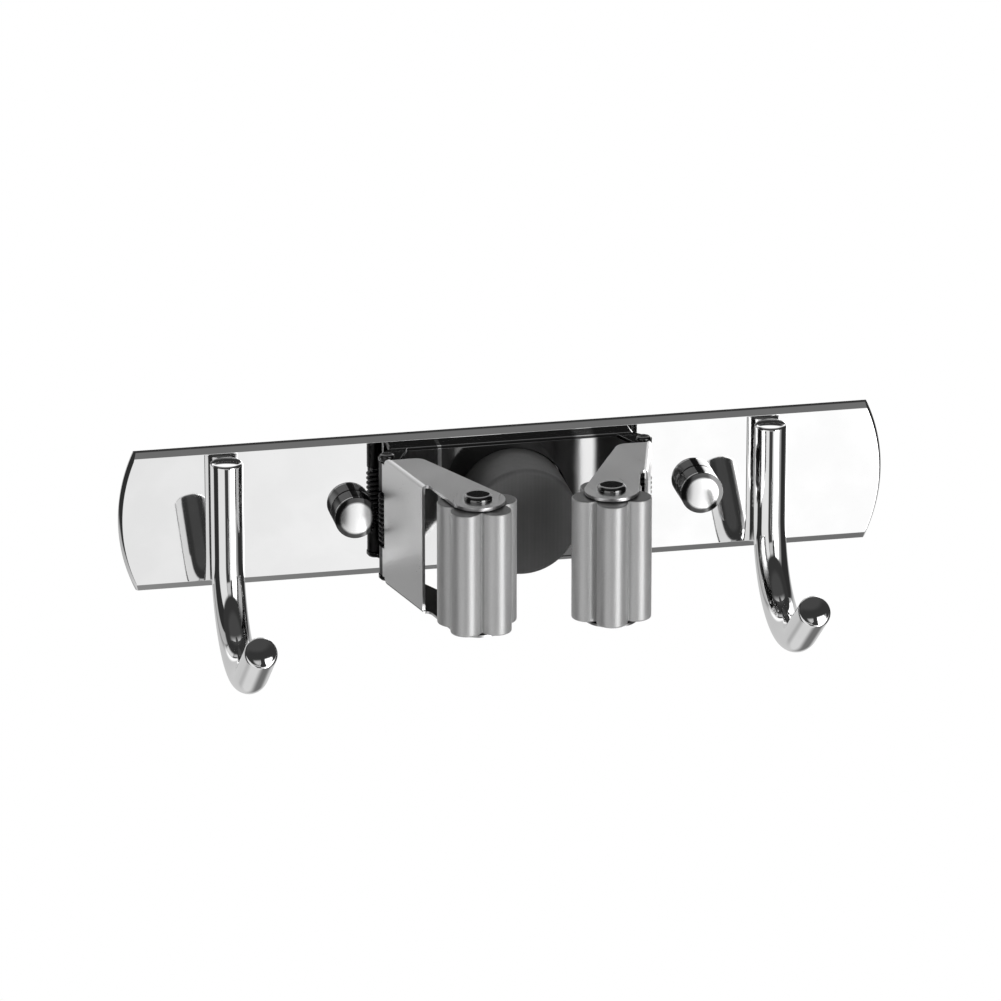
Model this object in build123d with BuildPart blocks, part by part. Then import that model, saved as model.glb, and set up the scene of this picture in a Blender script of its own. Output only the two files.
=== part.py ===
from build123d import *
import os
from math import acos, asin, atan2, ceil, cos, degrees, hypot, pi, radians, sin, sqrt

# Wall mop holder rack: a polished back plate with two J hooks, two capped wall screws, and in the middle
# a spring clip, whose two sheet arms carry lobed rubber rollers in front of a sprung rubber buffer.
# Millimetres. +X to the right, +Z up, the wall is the plane y = 0 and the rack stands out towards -Y.
# A depth is measured outwards from the front face of the back plate, and a reach sideways from the
# clip's own middle.

# Back plate
PLATE_LENGTH = 250.0
PLATE_HEIGHT = 47.0
PLATE_THICK = 2.5
END_BULGE = 5.2
LONG_BEVEL_WIDTH = 2.0
LONG_BEVEL_DEPTH = 0.6
END_BEVEL_WIDTH = 1.0
END_BEVEL_DEPTH = 1.6

# Hooks
HOOK_PLACES = {"left": -91.0, "right": 86.5}
ROD_RADIUS = 5.3
HOOK_TOP = 20.8
HOOK_BEND_START = -12.0
HOOK_BEND_RADIUS = 28.0
HOOK_TIP_RISE = 39.0
HOOK_TIP_LENGTH = 22.5
ROD_TOP_ROUND = 0.7
ROD_TIP_ROUND = 1.0
WELD_TOP = 16.0
WELD_BOTTOM = -12.0
WELD_HALF_WIDTH = 3.4
WELD_NECK_HALF = 2.2
WELD_DEPTH = 2.4

# Wall screws, their seats and caps
SCREW_PLACES = {"left": -49.6, "right": 63.6}
SCREW_HEIGHT = -1.0
SCREW_HOLE_RADIUS = 2.6
SCREW_NECK_RADIUS = 1.8
SCREW_SHANK_RADIUS = 2.0
SCREW_HEAD_RADIUS = 4.0
SCREW_HEAD_THICK = 2.4
SCREW_HEAD_ROUND = 1.2
SCREW_SHANK_BEHIND = 27.0
SCREW_POINT = 4.0
SCREW_TIP_RADIUS = 0.3
SEAT_RADIUS = 6.3
SEAT_FLOOR = 1.8
SEAT_RIM_DEPTH = 3.4
SEAT_RIM_WALL = 0.8
SEAT_BORE = 2.1
CAP_RADIUS = 6.9
CAP_START = 0.25
CAP_SIDE_DEPTH = 6.3
CAP_DOME = 1.8
CAP_WALL = 0.6
CAP_EDGE_ROUND = 0.7

# Clip base, a shallow pan with turned-in feet and an ear at each corner
CLIP_MIDDLE = 1.6
SHEET = 1.2
BASE_HALF_LENGTH = 40.0
BASE_HALF_HEIGHT = 20.6
BASE_DEPTH = 5.2
BASE_BEND = 1.0
FOOT_INNER = 24.0
FOOT_OUTER = 37.0
FOOT_WIDTH = 7.0
RIVET_REACH = 30.5
RIVET_HEIGHT = 15.9
RIVET_RADIUS = 1.6
RIVET_SINK_RADIUS = 2.8
RIVET_HEAD_RADIUS = 2.6
RIVET_HEAD_THICK = 0.9
BUFFER_HOLE_GAP = 0.3
EAR_ROUND = 2.8
EAR_ROOT_INNER = 34.0
EAR_NOSE_INNER = 38.9
EAR_NOSE_DEPTH = 14.4
EAR_NOSE_START = 3.2
EAR_HEEL = (42.8, 8.2)

# Arms: the web runs from the pivot pin outwards, leaning in by this angle
ARM_SHEET = 1.0
ARM_HALF_HEIGHT = 21.7
ARM_LEAN = 14.5
PIVOT_REACH = 41.8
PIVOT_DEPTH = 10.6
PIVOT_RADIUS = 1.5
PIVOT_HEAD_RADIUS = 2.4
PIVOT_HEAD_THICK = 0.8
PIVOT_HEAD_ROUND = 0.5
PIVOT_CLEARANCE = 0.05
KNUCKLE_HALF_HEIGHT = 19.2
KNUCKLE_INNER_HEIGHT = 9.5
KNUCKLE_OPENING = 104.5
WEB_START = 3.3
WEB_END = 31.5
WEB_CORNER = 3.0
WEB_FOLD = 0.9
LUG_START = 6.4
LUG_REAR_INNER = 32.0
LUG_REAR_DEPTH = 17.0
LUG_REAR_ROUND = 4.0
LUG_EDGE_OFF = 0.25
LUG_NOTCH_ROUND = 2.0
LUG_TIP_RADIUS = 8.6
STOP_GAP = 0.05

# Rollers on their riveted axles
ROLLER_REACH = 21.4
ROLLER_DEPTH = 56.6
ROLLER_HALF_LENGTH = 20.3
LOBES = 5
LOBE_RADIUS = 4.95
LOBE_CIRCLE = 8.1
LOBE_CORE = 7.6
LOBE_VALLEY_ROUND = 0.6
ROLLER_END_ROUND = 0.5
LOBE_TURN = {"left": -57.0, "right": -100.0}
AXLE_RADIUS = 2.0
AXLE_HEAD_RADIUS = 4.65
AXLE_HEAD_THICK = 1.7
AXLE_HEAD_ROUND = 1.3
AXLE_TAIL_RADIUS = 3.6
AXLE_TAIL_THICK = 1.0
AXLE_TAIL_ROUND = 0.6
BUSH_RADIUS = 3.0
BUSH_CLEARANCE = 0.05
BUSH_HALF_LENGTH = 20.4

# Buffer: a rubber drum on a steel carrier that slides on a post against a coil spring
DRUM_RADIUS = 17.9
DRUM_FRONT = 25.0
DRUM_REAR = 3.8
DRUM_FACE = 3.5
DRUM_ROUND = 1.8
DRUM_BORE = 15.0
DRUM_CAVITY = 13.0
CARRIER_RADIUS = 15.6
CARRIER_REAR = 12.6
CARRIER_FRONT = 14.1
HUB_RADIUS = 4.6
HUB_REAR = 8.6
POST_RADIUS = 3.0
POST_CLEARANCE = 0.05
POST_FLANGE_RADIUS = 7.0
POST_FLANGE_THICK = 1.0
POST_HEAD_RADIUS = 4.6
POST_HEAD_DEPTH = 14.2
POST_HEAD_THICK = 1.4

# Springs
BUFFER_COIL_RADIUS = 5.6
BUFFER_WIRE_RADIUS = 0.6
BUFFER_TURNS = 5
BUFFER_COIL_GAP = 0.05
ARM_COIL_RADIUS = 2.3
ARM_WIRE_RADIUS = 0.5
ARM_FULL_TURNS = 10
ARM_COIL_HALF_HEIGHT = 8.2
ARM_STUB_LENGTH = 4.5
ARM_STUB_BACK = 14.0
ARM_LEG_LENGTH = 8.6
ARM_LEG_LEAN = 10.0

SIDES = {"left": -1, "right": 1}
HALF_HEIGHT = PLATE_HEIGHT / 2
CORNER_X = PLATE_LENGTH / 2 - END_BULGE
HEAD_DEPTH = SEAT_FLOOR + SCREW_HEAD_THICK
LEAN = radians(ARM_LEAN)
ALONG_WEB = (-sin(LEAN), cos(LEAN))
OFF_WEB = (cos(LEAN), sin(LEAN))
WEB_INNER = PIVOT_RADIUS + PIVOT_CLEARANCE
WEB_OUTER = WEB_INNER + ARM_SHEET


def out(depth):
    """The y of a place so far outwards from the plate's front face."""
    return -(PLATE_THICK + depth)


def clip_xy(side, reach, depth):
    """The x and y of a place in the clip, on its left or right side."""
    return (CLIP_MIDDLE + side * reach, out(depth))


def web_point(along, off):
    """Reach and depth of a place so far along the web from its pivot pin, and so far off the pin."""
    return (
        PIVOT_REACH + along * ALONG_WEB[0] + off * OFF_WEB[0],
        PIVOT_DEPTH + along * ALONG_WEB[1] + off * OFF_WEB[1],
    )


def tangent_point(point, centre, radius, turn):
    """Where a line from the point touches a circle, on the side that turn, +1 or -1, picks."""
    dx, dy = point[0] - centre[0], point[1] - centre[1]
    angle = atan2(dy, dx) + turn * acos(radius / hypot(dx, dy))
    return (centre[0] + radius * cos(angle), centre[1] + radius * sin(angle))


def level(height):
    """A level plane at this height."""
    return Plane.XY.offset(height)


def facing(depth, x=0.0, z=0.0):
    """A plane that faces outwards from the wall at this depth, with its origin at x and z."""
    return Plane(origin=(x, out(depth), z), x_dir=(1, 0, 0), z_dir=(0, -1, 0))


def biarc(start, start_way, end, end_way):
    """Two arcs from start to end that leave and arrive in the given directions."""
    span = end - start
    ways = start_way + end_way
    closeness = 2 * (1 - start_way.dot(end_way))
    along = span.dot(ways)
    reach = (sqrt(along**2 + closeness * span.dot(span)) - along) / closeness
    joint = (start + start_way * reach + end - end_way * reach) / 2
    TangentArc(start, joint, tangent=start_way)
    TangentArc(end, joint, tangent=end_way * -1)


def coil(origin, first, second, axis, radius, turns, length, start_turn=0.0):
    """A helix of arcs about an axis. Returns its first and last points, and its directions there."""
    steps = ceil(turns * 4)
    stride = turns * 2 * pi / steps
    climb = length / (turns * 2 * pi)
    slant = hypot(radius, climb)

    def place(step):
        turn = start_turn + step * stride
        return origin + first * (radius * cos(turn)) + second * (radius * sin(turn)) + axis * (climb * step * stride)

    def heading(step):
        turn = start_turn + step * stride
        return (second * (radius * cos(turn)) - first * (radius * sin(turn)) + axis * climb) / slant

    for step in range(steps):
        biarc(place(step), heading(step), place(step + 1), heading(step + 1))
    return place(0), heading(0), place(steps), heading(steps)


def write(builder, name):
    """Labels a finished piece and writes it."""
    builder.part.label = name
    export_step(builder.part, f"parts/{name}.step")


def make_back_plate():
    """The plate: two straight edges, two bowed ends, bevelled all round in front."""
    with BuildPart() as plate:
        with BuildSketch(Plane.XZ):
            with BuildLine():
                Line((-CORNER_X, HALF_HEIGHT), (CORNER_X, HALF_HEIGHT))
                ThreePointArc((CORNER_X, HALF_HEIGHT), (PLATE_LENGTH / 2, 0), (CORNER_X, -HALF_HEIGHT))
                Line((CORNER_X, -HALF_HEIGHT), (-CORNER_X, -HALF_HEIGHT))
                ThreePointArc((-CORNER_X, -HALF_HEIGHT), (-PLATE_LENGTH / 2, 0), (-CORNER_X, HALF_HEIGHT))
            make_face()
            with Locations(*[(x, SCREW_HEIGHT) for x in SCREW_PLACES.values()]):
                Circle(SCREW_HOLE_RADIUS, mode=Mode.SUBTRACT)
        extrude(amount=PLATE_THICK)
        front = plate.faces().sort_by(Axis.Y)[0]
        end_edges = front.outer_wire().edges().filter_by(GeomType.CIRCLE)
        chamfer(end_edges, END_BEVEL_WIDTH, END_BEVEL_DEPTH, reference=front)
        front = plate.faces().sort_by(Axis.Y)[0]
        long_edges = front.outer_wire().edges().filter_by(GeomType.LINE)
        chamfer(long_edges, LONG_BEVEL_WIDTH, LONG_BEVEL_DEPTH, reference=front)
        with Locations(*[Plane(origin=(x, 0, z), z_dir=(0, 1, 0)) for x, z in rivet_places()]):
            CounterSinkHole(RIVET_RADIUS, RIVET_SINK_RADIUS, counter_sink_angle=90)
    return plate


def rivet_places():
    """The x and z of the four rivets that hold the clip base's feet to the plate."""
    return [
        (CLIP_MIDDLE + side * RIVET_REACH, end * RIVET_HEIGHT)
        for side in SIDES.values()
        for end in (-1, 1)
    ]


def make_hook(x):
    """A bent rod with its weld to the plate."""
    with BuildPart() as hook:
        with BuildLine(Plane.YZ.offset(x)):
            shank = Line((out(ROD_RADIUS), HOOK_TOP), (out(ROD_RADIUS), HOOK_BEND_START))
            bend = JernArc(shank @ 1, shank % 1, HOOK_BEND_RADIUS, -(90 + HOOK_TIP_RISE))
            Line(bend @ 1, (bend @ 1) + (bend % 1) * HOOK_TIP_LENGTH)
        with BuildSketch(level(HOOK_TOP)):
            with Locations((x, out(ROD_RADIUS))):
                Circle(ROD_RADIUS)
        sweep()
        ends = hook.faces().filter_by(GeomType.PLANE).sort_by(Axis.Z)
        fillet(ends[-1].edges(), ROD_TOP_ROUND)
        fillet(hook.faces().filter_by(GeomType.PLANE).sort_by(Axis.Y)[0].edges(), ROD_TIP_ROUND)
        with BuildSketch(level(WELD_BOTTOM)):
            Polygon(
                (x - WELD_HALF_WIDTH, out(0)),
                (x + WELD_HALF_WIDTH, out(0)),
                (x + WELD_NECK_HALF, out(WELD_DEPTH)),
                (x - WELD_NECK_HALF, out(WELD_DEPTH)),
                align=None,
            )
        extrude(amount=WELD_TOP - WELD_BOTTOM)
    return hook


def make_screw(x):
    """A round-headed wall screw with a narrower neck in the plate, its thread drawn plain."""
    with BuildPart() as screw:
        with BuildSketch(facing(HEAD_DEPTH, x, SCREW_HEIGHT)):
            Circle(SCREW_HEAD_RADIUS)
        extrude(amount=-SCREW_HEAD_THICK)
        fillet(screw.edges().sort_by(Axis.Y)[0], SCREW_HEAD_ROUND)
        with BuildSketch(facing(SEAT_FLOOR, x, SCREW_HEIGHT)):
            Circle(SCREW_NECK_RADIUS)
        extrude(amount=-(SEAT_FLOOR + PLATE_THICK))
        with BuildSketch(Plane(origin=(x, 0, SCREW_HEIGHT), x_dir=(1, 0, 0), z_dir=(0, 1, 0))):
            Circle(SCREW_SHANK_RADIUS)
        extrude(amount=SCREW_SHANK_BEHIND)
        with BuildSketch(Plane(origin=(x, SCREW_SHANK_BEHIND, SCREW_HEIGHT), x_dir=(1, 0, 0), z_dir=(0, 1, 0))):
            Circle(SCREW_SHANK_RADIUS)
        slope = degrees(atan2(SCREW_SHANK_RADIUS - SCREW_TIP_RADIUS, SCREW_POINT))
        extrude(amount=SCREW_POINT, taper=slope)
    return screw


def make_seat(x):
    """The ring under a screw head, with the rim that its cap grips."""
    with BuildPart() as seat:
        with BuildSketch(facing(0, x, SCREW_HEIGHT)):
            Circle(SEAT_RADIUS)
            Circle(SEAT_BORE, mode=Mode.SUBTRACT)
        extrude(amount=SEAT_FLOOR)
        with BuildSketch(facing(SEAT_FLOOR, x, SCREW_HEIGHT)):
            Circle(SEAT_RADIUS)
            Circle(SEAT_RADIUS - SEAT_RIM_WALL, mode=Mode.SUBTRACT)
        extrude(amount=SEAT_RIM_DEPTH - SEAT_FLOOR)
    return seat


def make_cap(x):
    """A domed cap over a screw head."""
    inner_radius = CAP_RADIUS - CAP_WALL
    inner_side = CAP_SIDE_DEPTH - CAP_WALL
    crown = CAP_SIDE_DEPTH + CAP_DOME
    inner_crown = crown - CAP_WALL
    inner_dome = inner_crown - inner_side
    with BuildPart() as cap:
        with BuildSketch(Plane(origin=(x, 0, SCREW_HEIGHT), x_dir=(1, 0, 0), z_dir=(0, 0, 1))):
            with BuildLine():
                Line((inner_radius, out(CAP_START)), (CAP_RADIUS, out(CAP_START)))
                Line((CAP_RADIUS, out(CAP_START)), (CAP_RADIUS, out(CAP_SIDE_DEPTH)))
                RadiusArc(
                    (CAP_RADIUS, out(CAP_SIDE_DEPTH)),
                    (0, out(crown)),
                    (CAP_RADIUS**2 + CAP_DOME**2) / (2 * CAP_DOME),
                )
                Line((0, out(crown)), (0, out(inner_crown)))
                RadiusArc(
                    (inner_radius, out(inner_side)),
                    (0, out(inner_crown)),
                    (inner_radius**2 + inner_dome**2) / (2 * inner_dome),
                )
                Line((inner_radius, out(inner_side)), (inner_radius, out(CAP_START)))
            make_face()
        revolve(axis=Axis((x, 0, SCREW_HEIGHT), (0, 1, 0)))
        side_face = cap.faces().filter_by(GeomType.CYLINDER).sort_by(SortBy.AREA)[-1]
        fillet(side_face.edges().filter_by(GeomType.CIRCLE).sort_by(Axis.Y)[0], CAP_EDGE_ROUND)
    return cap


def make_base():
    """The clip's base: a pan with its floor in front, riveted feet, pin ears and the buffer's hole."""
    with BuildPart() as base:
        with BuildSketch(facing(0, CLIP_MIDDLE)):
            Rectangle(2 * BASE_HALF_LENGTH, 2 * BASE_HALF_HEIGHT)
        extrude(amount=BASE_DEPTH)
        fillet(base.faces().sort_by(Axis.Y)[0].edges(), BASE_BEND)
        with BuildSketch(facing(0, CLIP_MIDDLE)):
            Rectangle(2 * (BASE_HALF_LENGTH - SHEET), 2 * (BASE_HALF_HEIGHT - SHEET))
        extrude(amount=BASE_DEPTH - SHEET, mode=Mode.SUBTRACT)
        with BuildSketch(facing(BASE_DEPTH, CLIP_MIDDLE)):
            Circle(DRUM_RADIUS + BUFFER_HOLE_GAP)
        extrude(amount=-SHEET, mode=Mode.SUBTRACT)
        foot_height = BASE_HALF_HEIGHT - SHEET - FOOT_WIDTH / 2
        with BuildSketch(facing(0, CLIP_MIDDLE)):
            for side in SIDES.values():
                with Locations(*[(side * (FOOT_INNER + FOOT_OUTER) / 2, end * foot_height) for end in (-1, 1)]):
                    Rectangle(FOOT_OUTER - FOOT_INNER, FOOT_WIDTH)
            with Locations(*[(x - CLIP_MIDDLE, z) for x, z in rivet_places()]):
                Circle(RIVET_RADIUS, mode=Mode.SUBTRACT)
        extrude(amount=SHEET)
        for side in SIDES.values():
            nose = [
                (EAR_ROOT_INNER, BASE_DEPTH - BASE_BEND),
                (EAR_NOSE_INNER, EAR_NOSE_DEPTH),
                web_point((EAR_NOSE_DEPTH - PIVOT_DEPTH - WEB_INNER * OFF_WEB[1]) / ALONG_WEB[1], WEB_INNER - STOP_GAP),
                web_point(EAR_NOSE_START, WEB_INNER - STOP_GAP),
                (PIVOT_REACH, PIVOT_DEPTH),
                EAR_HEEL,
                (BASE_HALF_LENGTH, BASE_DEPTH - BASE_BEND),
            ]
            for bottom in (BASE_HALF_HEIGHT - SHEET, -BASE_HALF_HEIGHT):
                with BuildSketch(level(bottom)):
                    Polygon(*[clip_xy(side, *point) for point in nose], align=None)
                    with Locations(clip_xy(side, PIVOT_REACH, PIVOT_DEPTH)):
                        Circle(EAR_ROUND)
                        Circle(PIVOT_RADIUS, mode=Mode.SUBTRACT)
                extrude(amount=SHEET)
    return base


def make_base_rivets():
    """The four rivets of the base's feet, flush behind the plate."""
    with BuildPart() as rivets:
        foot_front = out(SHEET)
        head_front = out(SHEET + RIVET_HEAD_THICK)
        sink = RIVET_SINK_RADIUS - RIVET_RADIUS
        for x, z in rivet_places():
            with BuildSketch(Plane(origin=(x, 0, z), x_dir=(1, 0, 0), z_dir=(0, 0, 1))):
                Polygon(
                    (0, 0),
                    (RIVET_SINK_RADIUS, 0),
                    (RIVET_RADIUS, -sink),
                    (RIVET_RADIUS, foot_front),
                    (RIVET_HEAD_RADIUS, foot_front),
                    (RIVET_RADIUS, head_front),
                    (0, head_front),
                    align=None,
                )
            revolve(axis=Axis((x, 0, z), (0, 1, 0)))
    return rivets


def make_pivot_pin(side):
    """A pivot pin, headed outside the ears at both ends."""
    with BuildPart() as pin:
        with BuildSketch(level(-BASE_HALF_HEIGHT)):
            with Locations(clip_xy(side, PIVOT_REACH, PIVOT_DEPTH)):
                Circle(PIVOT_RADIUS)
        extrude(amount=2 * BASE_HALF_HEIGHT)
        for plane, way in ((level(BASE_HALF_HEIGHT), 1), (level(-BASE_HALF_HEIGHT), -1)):
            with BuildSketch(plane):
                with Locations(clip_xy(side, PIVOT_REACH, PIVOT_DEPTH)):
                    Circle(PIVOT_HEAD_RADIUS)
            extrude(amount=way * PIVOT_HEAD_THICK)
        fillet(pin.edges().sort_by(Axis.Z)[-1], PIVOT_HEAD_ROUND)
        fillet(pin.edges().sort_by(Axis.Z)[0], PIVOT_HEAD_ROUND)
    return pin


def make_arm(side):
    """A folded arm: web, an upper and a lower lug, and two rolled knuckles round the pivot pin."""
    roller = (ROLLER_REACH, ROLLER_DEPTH)
    rear = (LUG_REAR_INNER, LUG_REAR_DEPTH)
    front = web_point(WEB_END, WEB_OUTER)
    inner_touch = tangent_point(rear, roller, LUG_TIP_RADIUS, -1)
    notch_start = web_point(WEB_END, LUG_EDGE_OFF + LUG_NOTCH_ROUND)
    notch_cut = LUG_NOTCH_ROUND * (1 - sqrt(0.5))
    notch_middle = web_point(WEB_END + notch_cut, LUG_EDGE_OFF + notch_cut)
    notch_end = web_point(WEB_END + LUG_NOTCH_ROUND, LUG_EDGE_OFF)
    outer_touch = tangent_point(notch_end, roller, LUG_TIP_RADIUS, 1)
    tip = (ROLLER_REACH, ROLLER_DEPTH + LUG_TIP_RADIUS)
    web_rear = web_point(LUG_START, WEB_OUTER)
    open_turn = LEAN + radians(KNUCKLE_OPENING)
    mouth = 2 * WEB_OUTER
    with BuildPart() as arm:
        for bottom in (ARM_HALF_HEIGHT - ARM_SHEET, -ARM_HALF_HEIGHT):
            with BuildSketch(level(bottom)) as lug:
                with BuildLine():
                    Polyline(
                        clip_xy(side, *inner_touch),
                        clip_xy(side, *rear),
                        clip_xy(side, *web_rear),
                        clip_xy(side, *front),
                        clip_xy(side, *notch_start),
                    )
                    ThreePointArc(
                        clip_xy(side, *notch_start), clip_xy(side, *notch_middle), clip_xy(side, *notch_end)
                    )
                    Line(clip_xy(side, *notch_end), clip_xy(side, *outer_touch))
                    ThreePointArc(clip_xy(side, *outer_touch), clip_xy(side, *tip), clip_xy(side, *inner_touch))
                make_face()
                fillet(lug.vertices().sort_by_distance(clip_xy(side, *rear))[0], LUG_REAR_ROUND)
                with Locations(clip_xy(side, *roller)):
                    Circle(AXLE_RADIUS, mode=Mode.SUBTRACT)
            extrude(amount=ARM_SHEET)
        with BuildSketch(level(-ARM_HALF_HEIGHT)):
            Polygon(
                clip_xy(side, *web_point(WEB_START, WEB_INNER)),
                clip_xy(side, *web_point(WEB_START, WEB_OUTER)),
                clip_xy(side, *web_point(WEB_END, WEB_OUTER)),
                clip_xy(side, *web_point(WEB_END, WEB_INNER)),
                align=None,
            )
        extrude(amount=2 * ARM_HALF_HEIGHT)
        outer_corner = clip_xy(side, *web_point(WEB_START, WEB_OUTER))
        inner_corner = clip_xy(side, *web_point(WEB_START, WEB_INNER))
        corners = [
            edge
            for edge in arm.edges().filter_by(GeomType.LINE)
            if abs(abs(edge.center().Z) - ARM_HALF_HEIGHT) < 1e-3
            and abs(edge.center().X - (outer_corner[0] + inner_corner[0]) / 2) < 1e-3
            and abs(edge.center().Y - (outer_corner[1] + inner_corner[1]) / 2) < 1e-3
        ]
        fillet(corners, WEB_CORNER)
        outer_face = arm.faces().sort_by(SortBy.AREA)[-1]
        heights = outer_face.edges().filter_by(GeomType.LINE).group_by(Axis.Z)
        fillet(heights[0] + heights[-1], WEB_FOLD)
        for bottom in (KNUCKLE_INNER_HEIGHT, -KNUCKLE_HALF_HEIGHT):
            with BuildSketch(level(bottom)):
                with Locations(clip_xy(side, PIVOT_REACH, PIVOT_DEPTH)):
                    Circle(WEB_OUTER)
                    Circle(WEB_INNER, mode=Mode.SUBTRACT)
                Polygon(
                    clip_xy(side, PIVOT_REACH, PIVOT_DEPTH),
                    clip_xy(side, PIVOT_REACH + mouth * cos(LEAN), PIVOT_DEPTH + mouth * sin(LEAN)),
                    clip_xy(side, PIVOT_REACH + mouth * cos(open_turn), PIVOT_DEPTH + mouth * sin(open_turn)),
                    align=None,
                    mode=Mode.SUBTRACT,
                )
                Polygon(
                    clip_xy(side, *web_point(0, WEB_INNER)),
                    clip_xy(side, *web_point(0, WEB_OUTER)),
                    clip_xy(side, *web_point(WEB_START, WEB_OUTER)),
                    clip_xy(side, *web_point(WEB_START, WEB_INNER)),
                    align=None,
                )
            extrude(amount=KNUCKLE_HALF_HEIGHT - KNUCKLE_INNER_HEIGHT)
    return arm


def make_axle(side):
    """A roller's axle, riveted into both lugs."""
    with BuildPart() as axle:
        with BuildSketch(level(-ARM_HALF_HEIGHT)):
            with Locations(clip_xy(side, ROLLER_REACH, ROLLER_DEPTH)):
                Circle(AXLE_RADIUS)
        extrude(amount=2 * ARM_HALF_HEIGHT)
        with BuildSketch(level(ARM_HALF_HEIGHT)):
            with Locations(clip_xy(side, ROLLER_REACH, ROLLER_DEPTH)):
                Circle(AXLE_HEAD_RADIUS)
        extrude(amount=AXLE_HEAD_THICK)
        fillet(axle.edges().sort_by(Axis.Z)[-1], AXLE_HEAD_ROUND)
        with BuildSketch(level(-ARM_HALF_HEIGHT)):
            with Locations(clip_xy(side, ROLLER_REACH, ROLLER_DEPTH)):
                Circle(AXLE_TAIL_RADIUS)
        extrude(amount=-AXLE_TAIL_THICK)
        fillet(axle.edges().sort_by(Axis.Z)[0], AXLE_TAIL_ROUND)
    return axle


def make_roller(side, turn):
    """A rubber roller with round lobes, bored for its bush."""
    with BuildPart() as roller:
        with BuildSketch(level(-ROLLER_HALF_LENGTH)) as outline:
            with Locations(clip_xy(side, ROLLER_REACH, ROLLER_DEPTH)):
                Circle(LOBE_CORE)
                with PolarLocations(LOBE_CIRCLE, LOBES, start_angle=turn):
                    Circle(LOBE_RADIUS)
            fillet(outline.vertices(), LOBE_VALLEY_ROUND)
        extrude(amount=2 * ROLLER_HALF_LENGTH)
        ends = roller.edges().group_by(Axis.Z)
        fillet(ends[0] + ends[-1], ROLLER_END_ROUND)
        with BuildSketch(level(-ROLLER_HALF_LENGTH)):
            with Locations(clip_xy(side, ROLLER_REACH, ROLLER_DEPTH)):
                Circle(BUSH_RADIUS)
        extrude(amount=2 * ROLLER_HALF_LENGTH, mode=Mode.SUBTRACT)
    return roller


def make_bush(side):
    """The plain bush in a roller, which runs on the axle."""
    with BuildPart() as bush:
        with BuildSketch(level(-BUSH_HALF_LENGTH)):
            with Locations(clip_xy(side, ROLLER_REACH, ROLLER_DEPTH)):
                Circle(BUSH_RADIUS)
                Circle(AXLE_RADIUS + BUSH_CLEARANCE, mode=Mode.SUBTRACT)
        extrude(amount=2 * BUSH_HALF_LENGTH)
    return bush


def make_arm_spring(side):
    """A torsion spring on a pivot pin: a leg on the base's end wall, a stub against a knuckle's free edge."""
    pin_x, pin_y = clip_xy(side, PIVOT_REACH, PIVOT_DEPTH)
    outward = Vector(side, 0, 0)
    to_wall = Vector(0, 1, 0)
    up = Vector(0, 0, 1)
    foot = Vector(pin_x, pin_y, -ARM_COIL_HALF_HEIGHT)
    with BuildPart() as spring:
        with BuildLine() as route:
            start, start_way, end, end_way = coil(
                foot,
                outward,
                to_wall,
                up,
                ARM_COIL_RADIUS,
                arm_spring_turns(),
                2 * ARM_COIL_HALF_HEIGHT,
                pi - radians(ARM_LEG_LEAN),
            )
            leg_end = start - start_way * ARM_LEG_LENGTH
            Line(leg_end, start)
            stub_foot = end + end_way * ARM_WIRE_RADIUS + up * ARM_WIRE_RADIUS
            biarc(end, end_way, stub_foot, up)
            Line(stub_foot, stub_foot + up * ARM_STUB_LENGTH)
        with BuildSketch(Plane(origin=leg_end, z_dir=start_way)):
            Circle(ARM_WIRE_RADIUS)
        sweep(path=route.wires()[0])
    return spring


def arm_spring_turns():
    """The turns from the leg on the base to where the wire bends up beside the knuckle's edge."""
    bend = degrees(asin(ARM_WIRE_RADIUS / ARM_COIL_RADIUS))
    stub_turn = ARM_LEAN + KNUCKLE_OPENING - ARM_STUB_BACK
    return ARM_FULL_TURNS + (180 + ARM_LEG_LEAN - stub_turn - bend) / 360


def make_post():
    """The post that the buffer slides on, welded to the plate by its flange."""
    with BuildPart() as post:
        with BuildSketch(facing(0, CLIP_MIDDLE)):
            Circle(POST_FLANGE_RADIUS)
        extrude(amount=POST_FLANGE_THICK)
        with BuildSketch(facing(0, CLIP_MIDDLE)):
            Circle(POST_RADIUS)
        extrude(amount=POST_HEAD_DEPTH)
        with BuildSketch(facing(POST_HEAD_DEPTH, CLIP_MIDDLE)):
            Circle(POST_HEAD_RADIUS)
        extrude(amount=POST_HEAD_THICK)
    return post


def make_carrier():
    """The steel disc and hub inside the drum."""
    with BuildPart() as carrier:
        with BuildSketch(facing(CARRIER_REAR, CLIP_MIDDLE)):
            Circle(CARRIER_RADIUS)
        extrude(amount=CARRIER_FRONT - CARRIER_REAR)
        with BuildSketch(facing(HUB_REAR, CLIP_MIDDLE)):
            Circle(HUB_RADIUS)
        extrude(amount=CARRIER_REAR - HUB_REAR)
        with BuildSketch(facing(HUB_REAR, CLIP_MIDDLE)):
            Circle(POST_RADIUS + POST_CLEARANCE)
        extrude(amount=CARRIER_FRONT - HUB_REAR, mode=Mode.SUBTRACT)
    return carrier


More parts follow.
